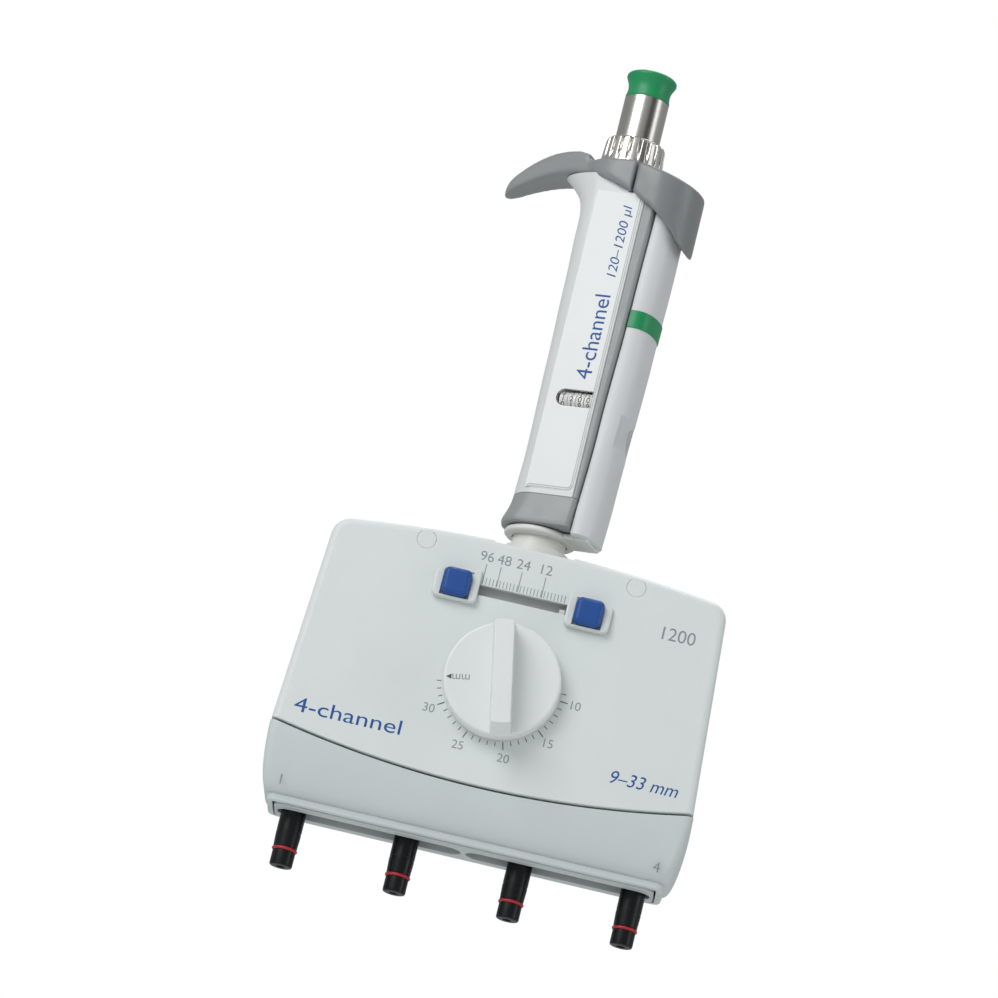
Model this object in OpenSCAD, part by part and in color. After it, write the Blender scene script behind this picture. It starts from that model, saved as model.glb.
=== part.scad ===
// Hand-held four-channel pipette with adjustable spacing between its tip cones.
// The frame's origin is on the handle's axis, where the underside of the finger rest
// meets the handle. +Z runs up to the push button, +X along the row of cones, and
// the dial looks along -Y.

/* [Handle] */
// Handle from the finger rest's underside down to its lower face
handle_len = 106.3; // [98:0.1:128]
// Radius of the handle's round side at mid height
handle_r = 10.8; // [10.6:0.1:11.2]
// Distance from the axis to the handle's flat back
handle_back = 15.3; // [15:0.1:18]
// Wall of the handle shells
handle_wall = 1.6; // [1.2:0.1:1.6]
// Height of the grey band at the foot of the handle
band_h = 12.2; // [10:0.1:14]
// Turn of the handle on the housing, seen from above
handle_turn = -20; // [-90:1:90]
// Radius of the neck that the handle turns on
neck_r = 7.9; // [7.5:0.1:8.4]
// Height of the middle of the volume window above the handle's lower face
window_up = 42; // [38:0.5:46]
// Length of the volume window
window_w = 11.4; // [10.6:0.1:12]
// Height of the volume window
window_h = 5; // [4.4:0.1:5.6]

/* [Finger rest and controls] */
// Height of the finger rest collar
collar_h = 10.3; // [9:0.1:13]
// How far the collar and the ejector button stand out from the handle
collar_wall = 1.6; // [1.4:0.1:2.2]
// Reach of the hook from the axis
hook_reach = 37; // [30:0.5:42]
// Travel of the push button
plunger_travel = 13.5; // [10:0.5:14]
// Travel of the tip ejector
ejector_travel = 4; // [3:0.1:4]
// Height of the knurled volume ring above the collar
ring_h = 7.2; // [6:0.1:9]
// Radius of the push sleeve
sleeve_r = 6.6; // [6.2:0.1:6.6]

/* [Housing] */
// Width of the housing where cover and nose meet
housing_w = 122.4; // [120:0.2:150]
// Depth of the housing from front to back
housing_d = 33; // [33:0.5:42]
// Height of the covers at the middle
cover_h = 71.8; // [71:0.1:90]
// Height of the nose below the covers at the middle
nose_h = 16; // [16:0.1:20]
// Wall of the covers
cover_wall = 2; // [1.6:0.1:2.2]
// Lean of the housing's sides
side_lean = 3.5; // [2:0.1:4]
// Height of the split line's ends above its middle
split_rise = 6.3; // [4:0.1:7]
// Radius of the housing's upper corners
corner_r = 5.7; // [4:0.1:7]
// Gap between the ejector ring and the housing's top
neck_gap = 3.2; // [3:0.1:8]

/* [Channels] */
// Widest spacing of the tip cones
pitch_max = 33; // [30:0.5:33]
// Closest spacing of the tip cones
pitch_min = 9; // [9:0.5:12]
// Radius of a tip cone at its upper end
cone_r = 3.6; // [3.2:0.05:3.7]
// Radius of a tip cone at its lower end
cone_end_r = 3.3; // [3:0.05:3.4]
// How far the cones stand out below the ejector plate
cone_out = 15.7; // [12:0.1:20]
// Radius of a cylinder's bore
bore_r = 5.6; // [5:0.05:5.7]
// Distance between the cylinders
cylinder_pitch = 20; // [18:0.5:21]

/* [Spacing drive] */
// Depth of the dial's centre below the housing's top
dial_drop = 41.2; // [40:0.1:43]
// Radius of the dial
dial_r = 16.9; // [14:0.1:18]
// Thickness of the dial's disc
dial_t = 5; // [3:0.1:6]
// Height of the dial's grip bar
grip_h = 9; // [6:0.1:12]
// Depth of the stop slot below the housing's top
slot_drop = 16; // [15:0.1:17]
// Height of the stop slot
slot_h = 3.1; // [2.6:0.1:3.4]
// Inward travel of each limit stop
stop_travel = 10; // [6:0.5:11]
// Travel of each blue stop button
button_travel = 1; // [0.6:0.1:1]
// Teeth of the spacing pinion
pinion_teeth = 16; // [16:2:18]
// Turn of the dial's grip bar at the widest spacing
grip_turn = 10.9; // [-20:0.1:20]

/* [Hidden] */

$fn = 64;
play = 0.3;          // clearance between parts that move past each other
slip = 0.05;         // radial clearance of a sliding or turning fit
over = 1;            // how far a cut runs past the face it opens

collar_r = handle_r + collar_wall;

// levels, from the top down
collar_top = collar_h;
ring_top = collar_top + play + ring_h;
cap_low = ring_top + plunger_travel + 1.5;
cap_h = 8.2;
cap_r = 7.4;
handle_low = -handle_len;
band_top = handle_low + band_h;
window_z = handle_low + window_up;
shell_top = 0.5;
ring_t = 2.2;
ring_z = handle_low - play - ring_t;
cover_top = ring_z - neck_gap;
split_z = cover_top - cover_h;
split_end_z = split_z + split_rise;
nose_low = split_z - nose_h;
lip_h = 2.1;
plate_t = 2;
plate_low = nose_low - 0.5;
plate_top = plate_low + plate_t;
cone_low = plate_low - cone_out;
dial_z = cover_top - dial_drop;
slot_z = cover_top - slot_drop;

// handle
rod_r = 2.5;
tube_r = 4.4;                       // setting tube
skirt_r = sleeve_r + 1.8;           // skirt of the volume ring
ring_base_r = 9.3;                  // foot of the knurled ring
sleeve_top = -4;                    // ejector sleeve's top, inside the ejector button
ring_seat = ring_base_r + 2 * play; // where the finger rest's raised root stops short of the ring
skirt_low = cap_low - 2 * plunger_travel - 27;
drum_r = 3;
drum_w = 2.5;
setting_low = window_z + drum_r + plunger_travel + 3.5;
drum_y = -handle_r + 4.6;
window_x = 4.25;
panel_y = -handle_r + 0.9;
strip_x = handle_back - 2.6;
sleeve_out = 4.2;                   // how far the ejector sleeve stands out behind the handle
sleeve_half = 8;
sleeve_x = handle_back + play;
button_c = handle_back - 3.3;       // centre of the ejector button's round end
split_x = 6.6;

// housing
half_w = housing_w / 2;
front_y = -housing_d / 2;
back_y = housing_d / 2;
inner_front = front_y + cover_wall;
inner_back = back_y - cover_wall;
top_rise = 3.3;
top_half = half_w - (cover_h - split_rise) * tan(side_lean) - corner_r;
top_r = (top_half * top_half + top_rise * top_rise) / (2 * top_rise);
split_r = (half_w * half_w + split_rise * split_rise) / (2 * split_rise);
well_r = neck_r + 3.3;              // opening in the top that the ejector ring dips into
flange_top = cover_top - 12.6;
flange_t = 2;
flange_r = neck_r + 2.6;
bar_h = 2.6;                        // cross bar of the lower ejector
bar_z = flange_top + ejector_travel + 0.4;
plate_back = 8.2;
arm_x = half_w - 17.2;
chassis_front = -5;
chassis_t = 2;
chassis_top = flange_top - flange_t;
post_x = half_w - 9.7;
post_z = cover_top - 20;
foot_post_x = half_w - 4.5;
foot_post_z = split_z + 8;

// pistons and cylinders
bridge_top = flange_top - 2.3;
bridge_t = 3.7;
cylinder_y = 6.6;
cylinder_wall = 1;
head_top = bridge_top - bridge_t - plunger_travel - 0.5;
head_t = 3;
piston_low = head_top - 4;
bore_low = piston_low - plunger_travel - 1;
floor_t = 1.5;
nozzle_len = 2.5;
nozzle_low = bore_low - floor_t - nozzle_len;
piston_r = bore_r - 1;
spring_low = bore_low;

// channels
block_low = plate_top + 0.5;
block_h = 13;
block_top = block_low + block_h;
block_half = pitch_min / 2 - 0.2;
nipple_top = block_top + 3;
air_r = 1.15;
hose_r = 1.9;
nipple_r = 1.3;
rail_r = 1.5;
rail_y = 4.2;
rail_low = block_low + 3.5;
rail_high = rail_low + 6;
web_front = -5;
web_back = -2.6;
pin_r = 1.4;
pin_z = plate_top + 6.3 + pitch_max - pitch_min;
chassis_low = pin_z + 3;
bracket_x = half_w - 7;
bracket_t = 2.2;

// drive
pinion_r = pinion_teeth / 2;
drive_travel = pitch_max - pitch_min;
cam_back = chassis_front - 0.4;
cam_front = cam_back - 2;
rack_y = cam_back - 4;
pinion_front = rack_y - 2.2;
slider_front = pinion_front + 0.2;
shaft_r = 3;
bush_r = 4.5;
backlash = 0.3;
tab_w = 13;
stop_x = tab_w / 2 + 2.8 + stop_travel;   // the tabs stay 5.6 mm apart when both are pushed in
neck_half = 4.5;                    // half the length of a stop's neck in the slot
slot_half = stop_x + neck_half + 1.7;
tab_h = 9.6;
tab_t = 1.8;
button_w = 8.1;
button_h = 2.4;
stem_z = slot_z + slot_h / 4;

// points of an arc round c, from angle a to angle b, in n steps
function arc(c, r, a, b, n) = [for (i = [0:n]) c + r * [cos(a + (b - a) * i / n),
  sin(a + (b - a) * i / n)]];

// outline of the covers, seen from the front, drawn in by d; the inner one runs out below
function side_at(z) = half_w - (z - split_end_z) * tan(side_lean);
function top_at(x) = cover_top - top_r + sqrt(top_r * top_r - x * x);
function split_at(x) = split_z + split_r - sqrt(split_r * split_r - x * x);
function corner(x, n) = n == 0 ? [x, cover_top - top_r + sqrt(pow(top_r - corner_r, 2) - x * x)] :
  corner(side_at(cover_top - top_r + sqrt(pow(top_r - corner_r,
    2) - x * x)) - corner_r / cos(side_lean), n - 1);
function right_side(d) = let (c = corner(half_w - 10, 4), r = corner_r - d,
  a = side_lean, b = atan2(c[1] - cover_top + top_r, c[0]))
  concat([[side_at(split_end_z) - d / cos(side_lean), split_end_z]], arc(c, r, a, b, 8));
function cover_outline(d) = let (s = right_side(d), e = s[len(s) - 1][0], w = s[0][0])
  concat(s,
    [for (i = [1:15]) let (x = e - i * e / 8) [x, top_at(x) - d]],
    [for (i = [len(s) - 1:-1:0]) [-s[i][0], s[i][1]]],
    d > 0 ? [[-w, split_z - 3], [w, split_z - 3]] : [for (i = [1:23]) let (x = -w + i * w / 12) [x,
      split_at(x)]]);

module slab(from, to) {
  // extrudes a front-view outline between two depths
  translate([0, to, 0]) rotate([90, 0, 0]) linear_extrude(to - from) children();
}

module turned() {
  rotate([0, 0, handle_turn]) children();
}

module box(low, high) {
  translate(low) cube(high - low);
}

module tube(r, bore, low, high) {
  difference() {
    translate([0, 0, low]) cylinder(r = r, h = high - low);
    translate([0, 0, low - over]) cylinder(r = bore, h = high - low + 2 * over);
  }
}

module along_y(r, from, to) {
  translate([0, to, 0]) rotate([90, 0, 0]) cylinder(r = r, h = to - from);
}

// wire spring standing on low, as one swept tube
module coil(r, wire, low, high, turns) {
  steps = 14 * turns;
  function ring(i) = let (a = 360 * i / 14, z = low + wire + (high - low - 2 * wire) * i / steps)
    [for (k = [0:5]) [(r + wire * cos(60 * k)) * cos(a), (r + wire * cos(60 * k)) * sin(a),
      z + wire * sin(60 * k)]];
  points = [for (i = [0:steps]) each ring(i)];
  sides = [for (i = [0:steps - 1]) for (k = [0:5]) let (n = (k + 1) % 6)
    each [[6 * i + k, 6 * i + 6 + k, 6 * i + n], [6 * i + n, 6 * i + 6 + k, 6 * i + 6 + n]]];
  ends = [[0, 1, 2, 3, 4, 5], [for (k = [5:-1:0]) 6 * steps + k]];
  polyhedron(points, concat(sides, ends));
}

// ---- handle ----

module shell_section(grow) {
  circle(r = handle_r + grow);
  translate([0, -handle_r + 0.8 - grow]) square([handle_back + grow, 2 * (handle_r - 0.8 + grow)]);
}

module handle_room() {
  // hollow of the handle, open to the collar
  tube_room_r = handle_r - handle_wall;
  translate([0, 0, band_top - 8]) cylinder(r = tube_room_r, h = shell_top - band_top + 8 + over);
  box([0, -tube_room_r + 1.2, band_top - 8], [strip_x + 1, tube_room_r - 1.2, shell_top + over]);
}

module window_shape(grow) {
  half = window_h / 2 + grow;
  left = window_x - window_w / 2 + window_h / 2;
  union() {
    translate([left, window_z]) circle(r = half);
    translate([left, window_z - half]) square([window_w - window_h / 2 + grow, 2 * half]);
  }
}

module handle_shell() {
  color("whitesmoke") turned() difference() {
    union() {
      rotate_extrude() polygon([[0, band_top], [handle_r - 0.4, band_top], [handle_r - 0.8, band_top + 14],
        [handle_r - 0.4, window_z + 12], [handle_r, window_z + 36], [handle_r + 0.4, shell_top - 12],
        [handle_r + 0.4, shell_top], [0, shell_top]]);
      box([0, -handle_r + 0.8, band_top], [strip_x, handle_r - 0.8, shell_top]);
    }
    handle_room();
    slab(-handle_r - over, panel_y + 3) window_shape(0.2);
    box([-3.5, -handle_r - over, band_top + 3], [strip_x - 0.6, panel_y, shell_top - 14]);
    box([strip_x - 0.01, -handle_r, band_top - over], [handle_back + over, handle_r, shell_top + over]);
  }
}

module handle_frame() {
  lug_low = window_z;
  color("gray") turned() {
    difference() {
      union() {
        rotate_extrude() polygon([[0, handle_low], [handle_r + 1, handle_low], [handle_r + 1.5,
          handle_low + 2],
          [handle_r - 0.4, band_top], [0, band_top]]);
        box([0, -handle_r + 0.8, handle_low], [handle_back, handle_r - 0.8, band_top]);
        box([strip_x, -handle_r + 0.8, band_top], [handle_back, handle_r - 0.8, shell_top]);
      }
      handle_room();
      translate([0, 0, handle_low + 3.2]) cylinder(r = handle_r - handle_wall, h = band_top - handle_low);
      translate([0, 0, handle_low - over]) cylinder(r = neck_r + slip, h = 6);
      for (z = [band_top + 8, shell_top - 26]) {
        translate([handle_back + over, 0, z]) rotate([0, -90, 0]) cylinder(r = 1.05, h = 6);
      }
    }
    box([handle_back - 0.5, -2.5, lug_low], [sleeve_x + 2.3, 2.5, lug_low + 2]);
  }
}

module label_panel() {
  color("white") turned() difference() {
    box([-3.4, panel_y - 0.5, band_top + 3.1], [strip_x - 0.7, panel_y, shell_top - 14.1]);
    slab(-handle_r - over, panel_y + over) window_shape(0.2);
  }
}

module window_lens() {
  color("lightcyan", 0.5) turned() slab(panel_y - 0.4, panel_y + 0.4) window_shape(0.1);
}

module handle_screws() {
  // two screws that hold the back frame to the shell
  color("silver") turned() for (z = [band_top + 8, shell_top - 26]) {
    translate([handle_back - 0.4, 0, z]) rotate([0, -90, 0]) {
      cylinder(r = 1, h = 2.6);
    }
  }
}

module hook_plan() {
  tip_r = 4;
  lean = asin((collar_r - 2.4 - tip_r) / (hook_reach - tip_r));
  tip_x = -hook_reach + tip_r;
  root_r = collar_r - 2.4;
  translate([tip_x, 0]) circle(r = tip_r);
  polygon([[tip_x - tip_r * sin(lean), tip_r * cos(lean)], [-root_r * sin(lean), root_r * cos(lean)],
    [0, root_r], [0, -root_r], [-root_r * sin(lean), -root_r * cos(lean)],
    [tip_x - tip_r * sin(lean), -tip_r * cos(lean)]]);
}

module hook_side() {
  // blade between two arcs that fall away towards the tip
  upper_r = 28.75;
  lower_r = 45.8;
  bend_x = 23 - hook_reach;
  crest = 2.2;   // the blade rises this far above the collar
  root_low = collar_top - 4.8;
  upper = arc([bend_x, collar_top + crest - upper_r], upper_r, 90, 146, 14);
  lower = arc([bend_x + 2, root_low - lower_r], lower_r, 124, 90, 10);
  polygon(concat([[-2, collar_top], [-ring_seat, collar_top], [-ring_seat, collar_top + 1.8]], upper, lower,
    [[-2, root_low]]));
}

// side view of the lower edge that collar and ejector button share, drawn in the handle's plane
module collar_side(low) {
  polygon([[-collar_r - over, collar_top], [-collar_r - over, 6.8], [-7, 5.6], [0, 3.4], [5, 1.2], [8, -0.6],
    [12.5, -3.4], [17, -6.6], [20.5, -10], [23, -13.4], [collar_r + button_c + over, -15.4],
    [collar_r + button_c + over, collar_top - low], [6, collar_top]]);
}

module collar_body() {
  intersection() {
    union() {
      translate([0, 0, -16]) cylinder(r = collar_r, h = collar_top + 16);
      translate([button_c, 0, -16]) cylinder(r = collar_r, h = collar_top + 16);
      box([0, -collar_r, -16], [button_c, collar_r, collar_top]);
    }
    slab(-collar_r - over, collar_r + over) collar_side(5);
  }
}

module finger_rest() {
  color("darkgray") turned() difference() {
    union() {
      intersection() {
        collar_body();
        box([-collar_r - over, -collar_r - over, -20], [split_x, collar_r + over, collar_top + over]);
      }
      intersection() {
        slab(-collar_r - over, collar_r + over) hook_side();
        translate([0, 0, -20]) linear_extrude(collar_top + 24) hook_plan();
      }
      // spigot that closes the room between the shell's top and the collar's lower edge
      intersection() {
        translate([0, 0, shell_top - 1]) cylinder(r = handle_r + 0.2, h = collar_top - shell_top);
        box([-collar_r, -collar_r, shell_top - 2], [split_x - 0.5, collar_r, collar_top]);
      }
    }
    translate([0, 0, -20]) cylinder(r = skirt_r + play, h = collar_top + 21);
    translate([0, 0, -20]) linear_extrude(20 + shell_top) shell_section(0.4);
  }
}

module ejector_button() {
  ceiling = shell_top + ejector_travel + play;
  color("dimgray") turned() difference() {
    intersection() {
      collar_body();
      box([split_x + play, -collar_r - over, -20], [collar_r + button_c + over, collar_r + over,
        collar_top + over]);
    }
    translate([0, 0, -20]) cylinder(r = skirt_r + play, h = collar_top + 21);
    translate([0, 0, -20]) linear_extrude(20 + ceiling) shell_section(0.9);
    box([handle_back, -sleeve_half - 0.01, -20], [sleeve_x + sleeve_out, sleeve_half + 0.01, sleeve_top]);
  }
}

module ejector_sleeve() {
  low = ring_z + 1;
  wall = 1.2;
  lug_top = window_z + 2;
  color("whitesmoke") turned() difference() {
    box([sleeve_x, -sleeve_half, low], [sleeve_x + sleeve_out, sleeve_half, sleeve_top]);
    box([sleeve_x - over, -sleeve_half + wall, low + 3], [sleeve_x + sleeve_out - wall,
      sleeve_half - wall, lug_top + 29]);
    translate([0, 0, low - over]) linear_extrude(sleeve_top - low + 3) difference() {
      translate([sleeve_x + 0.5, -sleeve_half - over]) square([sleeve_out, 2 * sleeve_half + 2 * over]);
      for (y = [-1, 1]) {
        translate([sleeve_x + sleeve_out - 3.5, y * (sleeve_half - 3.5)]) circle(r = 3.5);
      }
      translate([sleeve_x, -sleeve_half + 3.5]) square([sleeve_out, 2 * sleeve_half - 7]);
      translate([sleeve_x, -sleeve_half]) square([sleeve_out - 3.5, 2 * sleeve_half]);
    }
  }
}

module ejector_band() {
  // coloured clip round the ejector sleeve
  low = window_z + 24;
  t = 0.25;
  color("green") turned() difference() {
    box([sleeve_x + 0.6, -sleeve_half - t, low], [sleeve_x + sleeve_out + t, sleeve_half + t, low + 5.4]);
    box([sleeve_x - over, -sleeve_half, low - over], [sleeve_x + sleeve_out, sleeve_half, low + 6.4]);
  }
}

module ejector_ring() {
  foot_half = sleeve_half - 0.5;
  color("gainsboro") turned() difference() {
    union() {
      translate([0, 0, ring_z]) cylinder(r = well_r - 0.6, h = ring_t);
      box([6, -foot_half, ring_z + 1], [sleeve_x, foot_half, ring_z + ring_t]);
    }
    translate([0, 0, ring_z - over]) cylinder(r = neck_r + 0.25, h = ring_t + 2 * over);
  }
}

module ejector_spring() {
  color("silver") turned() translate([sleeve_x + 1.45, 0, 0]) coil(1.05, 0.2, window_z + 2.02,
    window_z + 30.98, 14);
}

// ---- volume setting and push button ----

module counter_axle() {
  reach = 2 * drum_w + 1.6;
  color("silver") turned() translate([window_x, drum_y, window_z]) rotate([0, 90, 0]) {
    translate([0, 0, -reach]) cylinder(r = 0.8, h = 2 * reach);
    for (x = [-reach, reach - 1]) {
      translate([0, 0, x]) linear_extrude(1) translate([-2, -1.4]) square([4, 2.8]);
    }
  }
}

module counter_drum(place) {
  color("white") turned() translate([window_x + (place - 2.5) * (drum_w + 0.1), drum_y, window_z])
  rotate([0, 90, 0]) translate([0, 0, -drum_w / 2]) difference() {
    cylinder(r = drum_r, h = drum_w);
    translate([0, 0, -over]) cylinder(r = 0.8 + slip, h = drum_w + 2 * over);
  }
}

module volume_ring() {
  grooves = 20;
  crown_r = 8.7;
  color("silver") turned() difference() {
    union() {
      translate([0, 0, collar_top + play]) cylinder(r1 = ring_base_r, r2 = crown_r, h = ring_h);
      translate([0, 0, skirt_low]) cylinder(r = skirt_r, h = collar_top + play - skirt_low + 0.01);
    }
    translate([0, 0, skirt_low + 1.6]) cylinder(r = sleeve_r + 0.2, h = ring_top - skirt_low);
    translate([0, 0, skirt_low - over]) cylinder(r = tube_r, h = 4);
    for (i = [0:grooves - 1]) {
      rotate([0, 0, 360 * i / grooves]) translate([ring_base_r + 0.25, 0, collar_top + 1.6])
        rotate([0, -4, 0]) cylinder(r = 0.7, h = ring_h + 1, $fn = 16);
    }
  }
}

module setting_tube() {
  color("silver") turned() tube(tube_r, rod_r + 0.3, setting_low, skirt_low + 1.6);
}

module push_cap() {
  color("green") turned() rotate_extrude() polygon(concat([[0, cap_low], [sleeve_r + 0.05, cap_low],
    [sleeve_r + 0.05, cap_low + 1]],
    arc([sleeve_r + 4.2, cap_low + 3.2], 4, 205, 130, 8),
    [[cap_r, cap_low + 6.4], [cap_r, cap_low + 7.2], [cap_r - 0.6, cap_low + 7.9], [cap_r - 2.5,
      cap_low + cap_h],
    [0, cap_low + cap_h - 0.4]]));
}

module push_sleeve() {
  color("silver") turned() tube(sleeve_r, sleeve_r - 0.7, cap_low - plunger_travel - 23, cap_low);
}

module push_rod() {
  // steel rod from the cap down to the top of the piston bridge, with its upper stop
  color("lightgray") turned() {
    translate([0, 0, handle_low - 5.4]) cylinder(r = rod_r, h = cap_low - handle_low + 5.4);
    translate([0, 0, setting_low - play - 2]) cylinder(r = tube_r - 0.4, h = 2);
  }
}

module plunger_spring() {
  color("silver") turned() coil(3.9, 0.45, skirt_low + 1.62, cap_low - 0.02, 11);
}

// ---- neck and housing ----

module neck_tube() {
  // bearing tube that the handle turns on, with its retaining collar and its foot flange
  color("ivory") difference() {
    union() {
      translate([0, 0, flange_top]) cylinder(r = neck_r, h = handle_low + 5 - flange_top);
      translate([0, 0, handle_low + 3.2 + play]) cylinder(r = neck_r + 0.9, h = 1.5);
      translate([0, 0, flange_top - flange_t]) cylinder(r = flange_r, h = flange_t);
    }
    translate([0, 0, flange_top - flange_t - over]) cylinder(r = rod_r + 2,
      h = handle_low - flange_top + 20);
  }
}

module top_well() {
  translate([0, 0, cover_top - 8]) cylinder(r = well_r, h = 12);
}

module front_cover() {
  color("gainsboro") difference() {
    union() {
      difference() {
        slab(front_y, 0) polygon(cover_outline(0));
        slab(inner_front, over) polygon(cover_outline(cover_wall));
      }
      for (x = [-1, 1]) {
        translate([x * post_x, 0, post_z]) along_y(3, inner_front - 0.01, chassis_front);
        translate([x * foot_post_x, 0, foot_post_z]) along_y(2.4, inner_front - 0.01, -over);
      }
      translate([0, 0, dial_z]) along_y(bush_r + 1.6, inner_front - 0.01, pinion_front - 0.4);
    }
    top_well();
    box([-well_r - 0.5, front_y - over, cover_top - 1], [well_r + 0.5, over, cover_top + over]);
    translate([0, 0, dial_z]) along_y(bush_r, front_y - over, 0);
    box([-slot_half, front_y - over, slot_z - slot_h / 2], [slot_half, inner_front + over,
      slot_z + slot_h / 2]);
    for (x = [-1, 1]) {
      translate([x * 30.7, 0, cover_top - 4.9]) along_y(2.75, front_y - over, front_y + 0.8);
      translate([x * post_x, 0, post_z]) along_y(1.1, inner_front, 0);
      translate([x * foot_post_x, 0, foot_post_z]) along_y(1.1, inner_front, 0);
    }
  }
}

module rear_cover() {
  color("gainsboro") difference() {
    union() {
      difference() {
        slab(0, back_y) polygon(cover_outline(0));
        slab(-over, inner_back) polygon(cover_outline(cover_wall));
      }
      for (x = [-1, 1]) {
        translate([x * post_x, 0, post_z]) along_y(3, chassis_front + chassis_t, inner_back + 0.01);
        translate([x * foot_post_x, 0, foot_post_z]) along_y(2.4, 0, inner_back + 0.01);
      }
    }
    top_well();
    box([-well_r - 0.5, -over, cover_top - 1], [well_r + 0.5, back_y + over, cover_top + over]);
    for (x = [-1, 1]) {
      translate([x * post_x, 0, post_z]) along_y(1.3, -20, back_y + over);
      translate([x * post_x, 0, post_z]) along_y(2.6, back_y - 2.2, back_y + over);
      translate([x * foot_post_x, 0, foot_post_z]) along_y(1.3, -20, back_y + over);
      translate([x * foot_post_x, 0, foot_post_z]) along_y(2, back_y - 2.2, back_y + over);
    }
  }
}

// section through the nose, drawn in by d: bulging faces above a crease and a straight lip
function nose_face(d) = let (low = 10.5 - d, high = back_y - 0.3 - d,
  up = split_end_z + 1 - nose_low - lip_h)
  [for (i = [0:8]) [low + (high - low) * sin(90 * i / 8), nose_low + lip_h + up * (1 - cos(90 * i / 8))]];
function nose_section(d) = let (s = nose_face(d))
  concat([[10.3 - d, nose_low]], s, [for (i = [8:-1:0]) [-s[i][0], s[i][1]]], [[-10.3 + d, nose_low]]);
function nose_end(d) = let (low = half_w - 3.4 - d, high = half_w + 0.3 - d,
  up = split_end_z + 1 - nose_low - lip_h)
  [for (i = [0:8]) [low + (high - low) * sin(90 * i / 8), nose_low + lip_h + up * (1 - cos(90 * i / 8))]];
function nose_front(d) = let (s = nose_end(d))
  concat([[half_w - 3.8 - d, nose_low]], s, [for (i = [8:-1:0]) [-s[i][0], s[i][1]]],
    [[-half_w + 3.8 + d, nose_low]]);

module nose_body(d) {
  intersection() {
    slab(-housing_d, housing_d) polygon(nose_front(d));
    rotate([90, 0, 90]) translate([0, 0,
      -half_w - 5]) linear_extrude(housing_w + 10) polygon(nose_section(d));
  }
}

module nose_cover() {
  color("silver") difference() {
    nose_body(0);
    nose_body(1.8);
    slab(-housing_d, housing_d) polygon(concat([[half_w + 5, split_end_z + 12]], [[-half_w - 5,
      split_end_z + 12]],
      [for (i = [-13:13]) let (x = i * (half_w + 1) / 13) [x, split_z + split_r - 0.15
        - sqrt(split_r * split_r - x * x)]]));
  }
}

module cover_plugs() {
  color("gainsboro") for (x = [-1, 1]) {
    translate([x * 30.7, 0, cover_top - 4.9]) along_y(2.7, front_y, front_y + 0.8);
  }
}

module cover_screws() {
  color("silver") for (x = [-1, 1]) {
    translate([x * post_x, 0, post_z]) {
      along_y(1, inner_front + 1, back_y - 2.2);
      along_y(2.4, back_y - 2.2, back_y - 0.6);
    }
    translate([x * foot_post_x, 0, foot_post_z]) {
      along_y(1, inner_front + 1, back_y - 2.2);
      along_y(1.8, back_y - 2.2, back_y - 0.6);
    }
  }
}

module chassis() {
  half = post_x - 4;
  back = chassis_front + chassis_t;
  color("darkgray") difference() {
    union() {
      box([-half, chassis_front, chassis_low], [half, back, chassis_top]);
      box([-post_x - 3, chassis_front, post_z - 4], [post_x + 3, back, post_z + 4]);
    }
    for (x = [-1, 1]) {
      translate([x * post_x, 0, post_z]) along_y(1.3, chassis_front - over, back + over);
    }
  }
}

module cylinders() {
  reach = 1.5 * cylinder_pitch;
  color("lightgray") difference() {
    union() {
      for (i = [-1.5:1.5]) {
        translate([i * cylinder_pitch, cylinder_y, bore_low - floor_t])
          cylinder(r = bore_r + cylinder_wall, h = head_top - bore_low + floor_t);
        translate([i * cylinder_pitch, cylinder_y, nozzle_low]) cylinder(r = nipple_r,
          h = nozzle_len + 0.1);
      }
      box([-reach - bore_r - 1, chassis_front + chassis_t, head_top - head_t],
        [reach + bore_r + 1, cylinder_y + bore_r + 1, head_top]);
      box([-reach, cylinder_y - 4, bore_low - floor_t], [reach, cylinder_y + 4, bore_low]);
    }
    for (i = [-1.5:1.5]) {
      translate([i * cylinder_pitch, cylinder_y, bore_low]) cylinder(r = bore_r,
        h = head_top - bore_low + over);
      translate([i * cylinder_pitch, cylinder_y, nozzle_low - over]) cylinder(r = 0.8, h = 6);
    }
    for (x = [-1, 1]) {
      translate([x * cylinder_pitch, cylinder_y, bore_low]) cylinder(r = 3.2,
        h = head_top - bore_low + over);
    }
  }
}

module rail_bracket() {
  low = rail_low - 2.2;
  top = rail_high + 10;
  color("darkgray") {
    for (x = [-1, 1]) {
      difference() {
        union() {
          box([x * bracket_x + min(0, x * bracket_t), rail_y - 3, low],
            [x * bracket_x + max(0, x * bracket_t), rail_y + 2.8, top]);
          box([x * bracket_x + min(0, x * bracket_t), rail_y, top - 6],
            [x * bracket_x + max(0, x * bracket_t), 12, top]);
        }
        for (z = [rail_low, rail_high]) {
          translate([x * bracket_x - 4, rail_y, z]) rotate([0, 90, 0]) cylinder(r = rail_r, h = 8);
        }
      }
    }
    box([-bracket_x - 0.1, 9.8, top - 6], [bracket_x + 0.1, 12, top]);
  }
}

module guide_rails() {
  color("silver") for (z = [rail_low, rail_high]) {
    translate([-bracket_x - bracket_t, rail_y, z]) rotate([0, 90, 0]) cylinder(r = rail_r,
      h = 2 * (bracket_x + bracket_t));
  }
}

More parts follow.
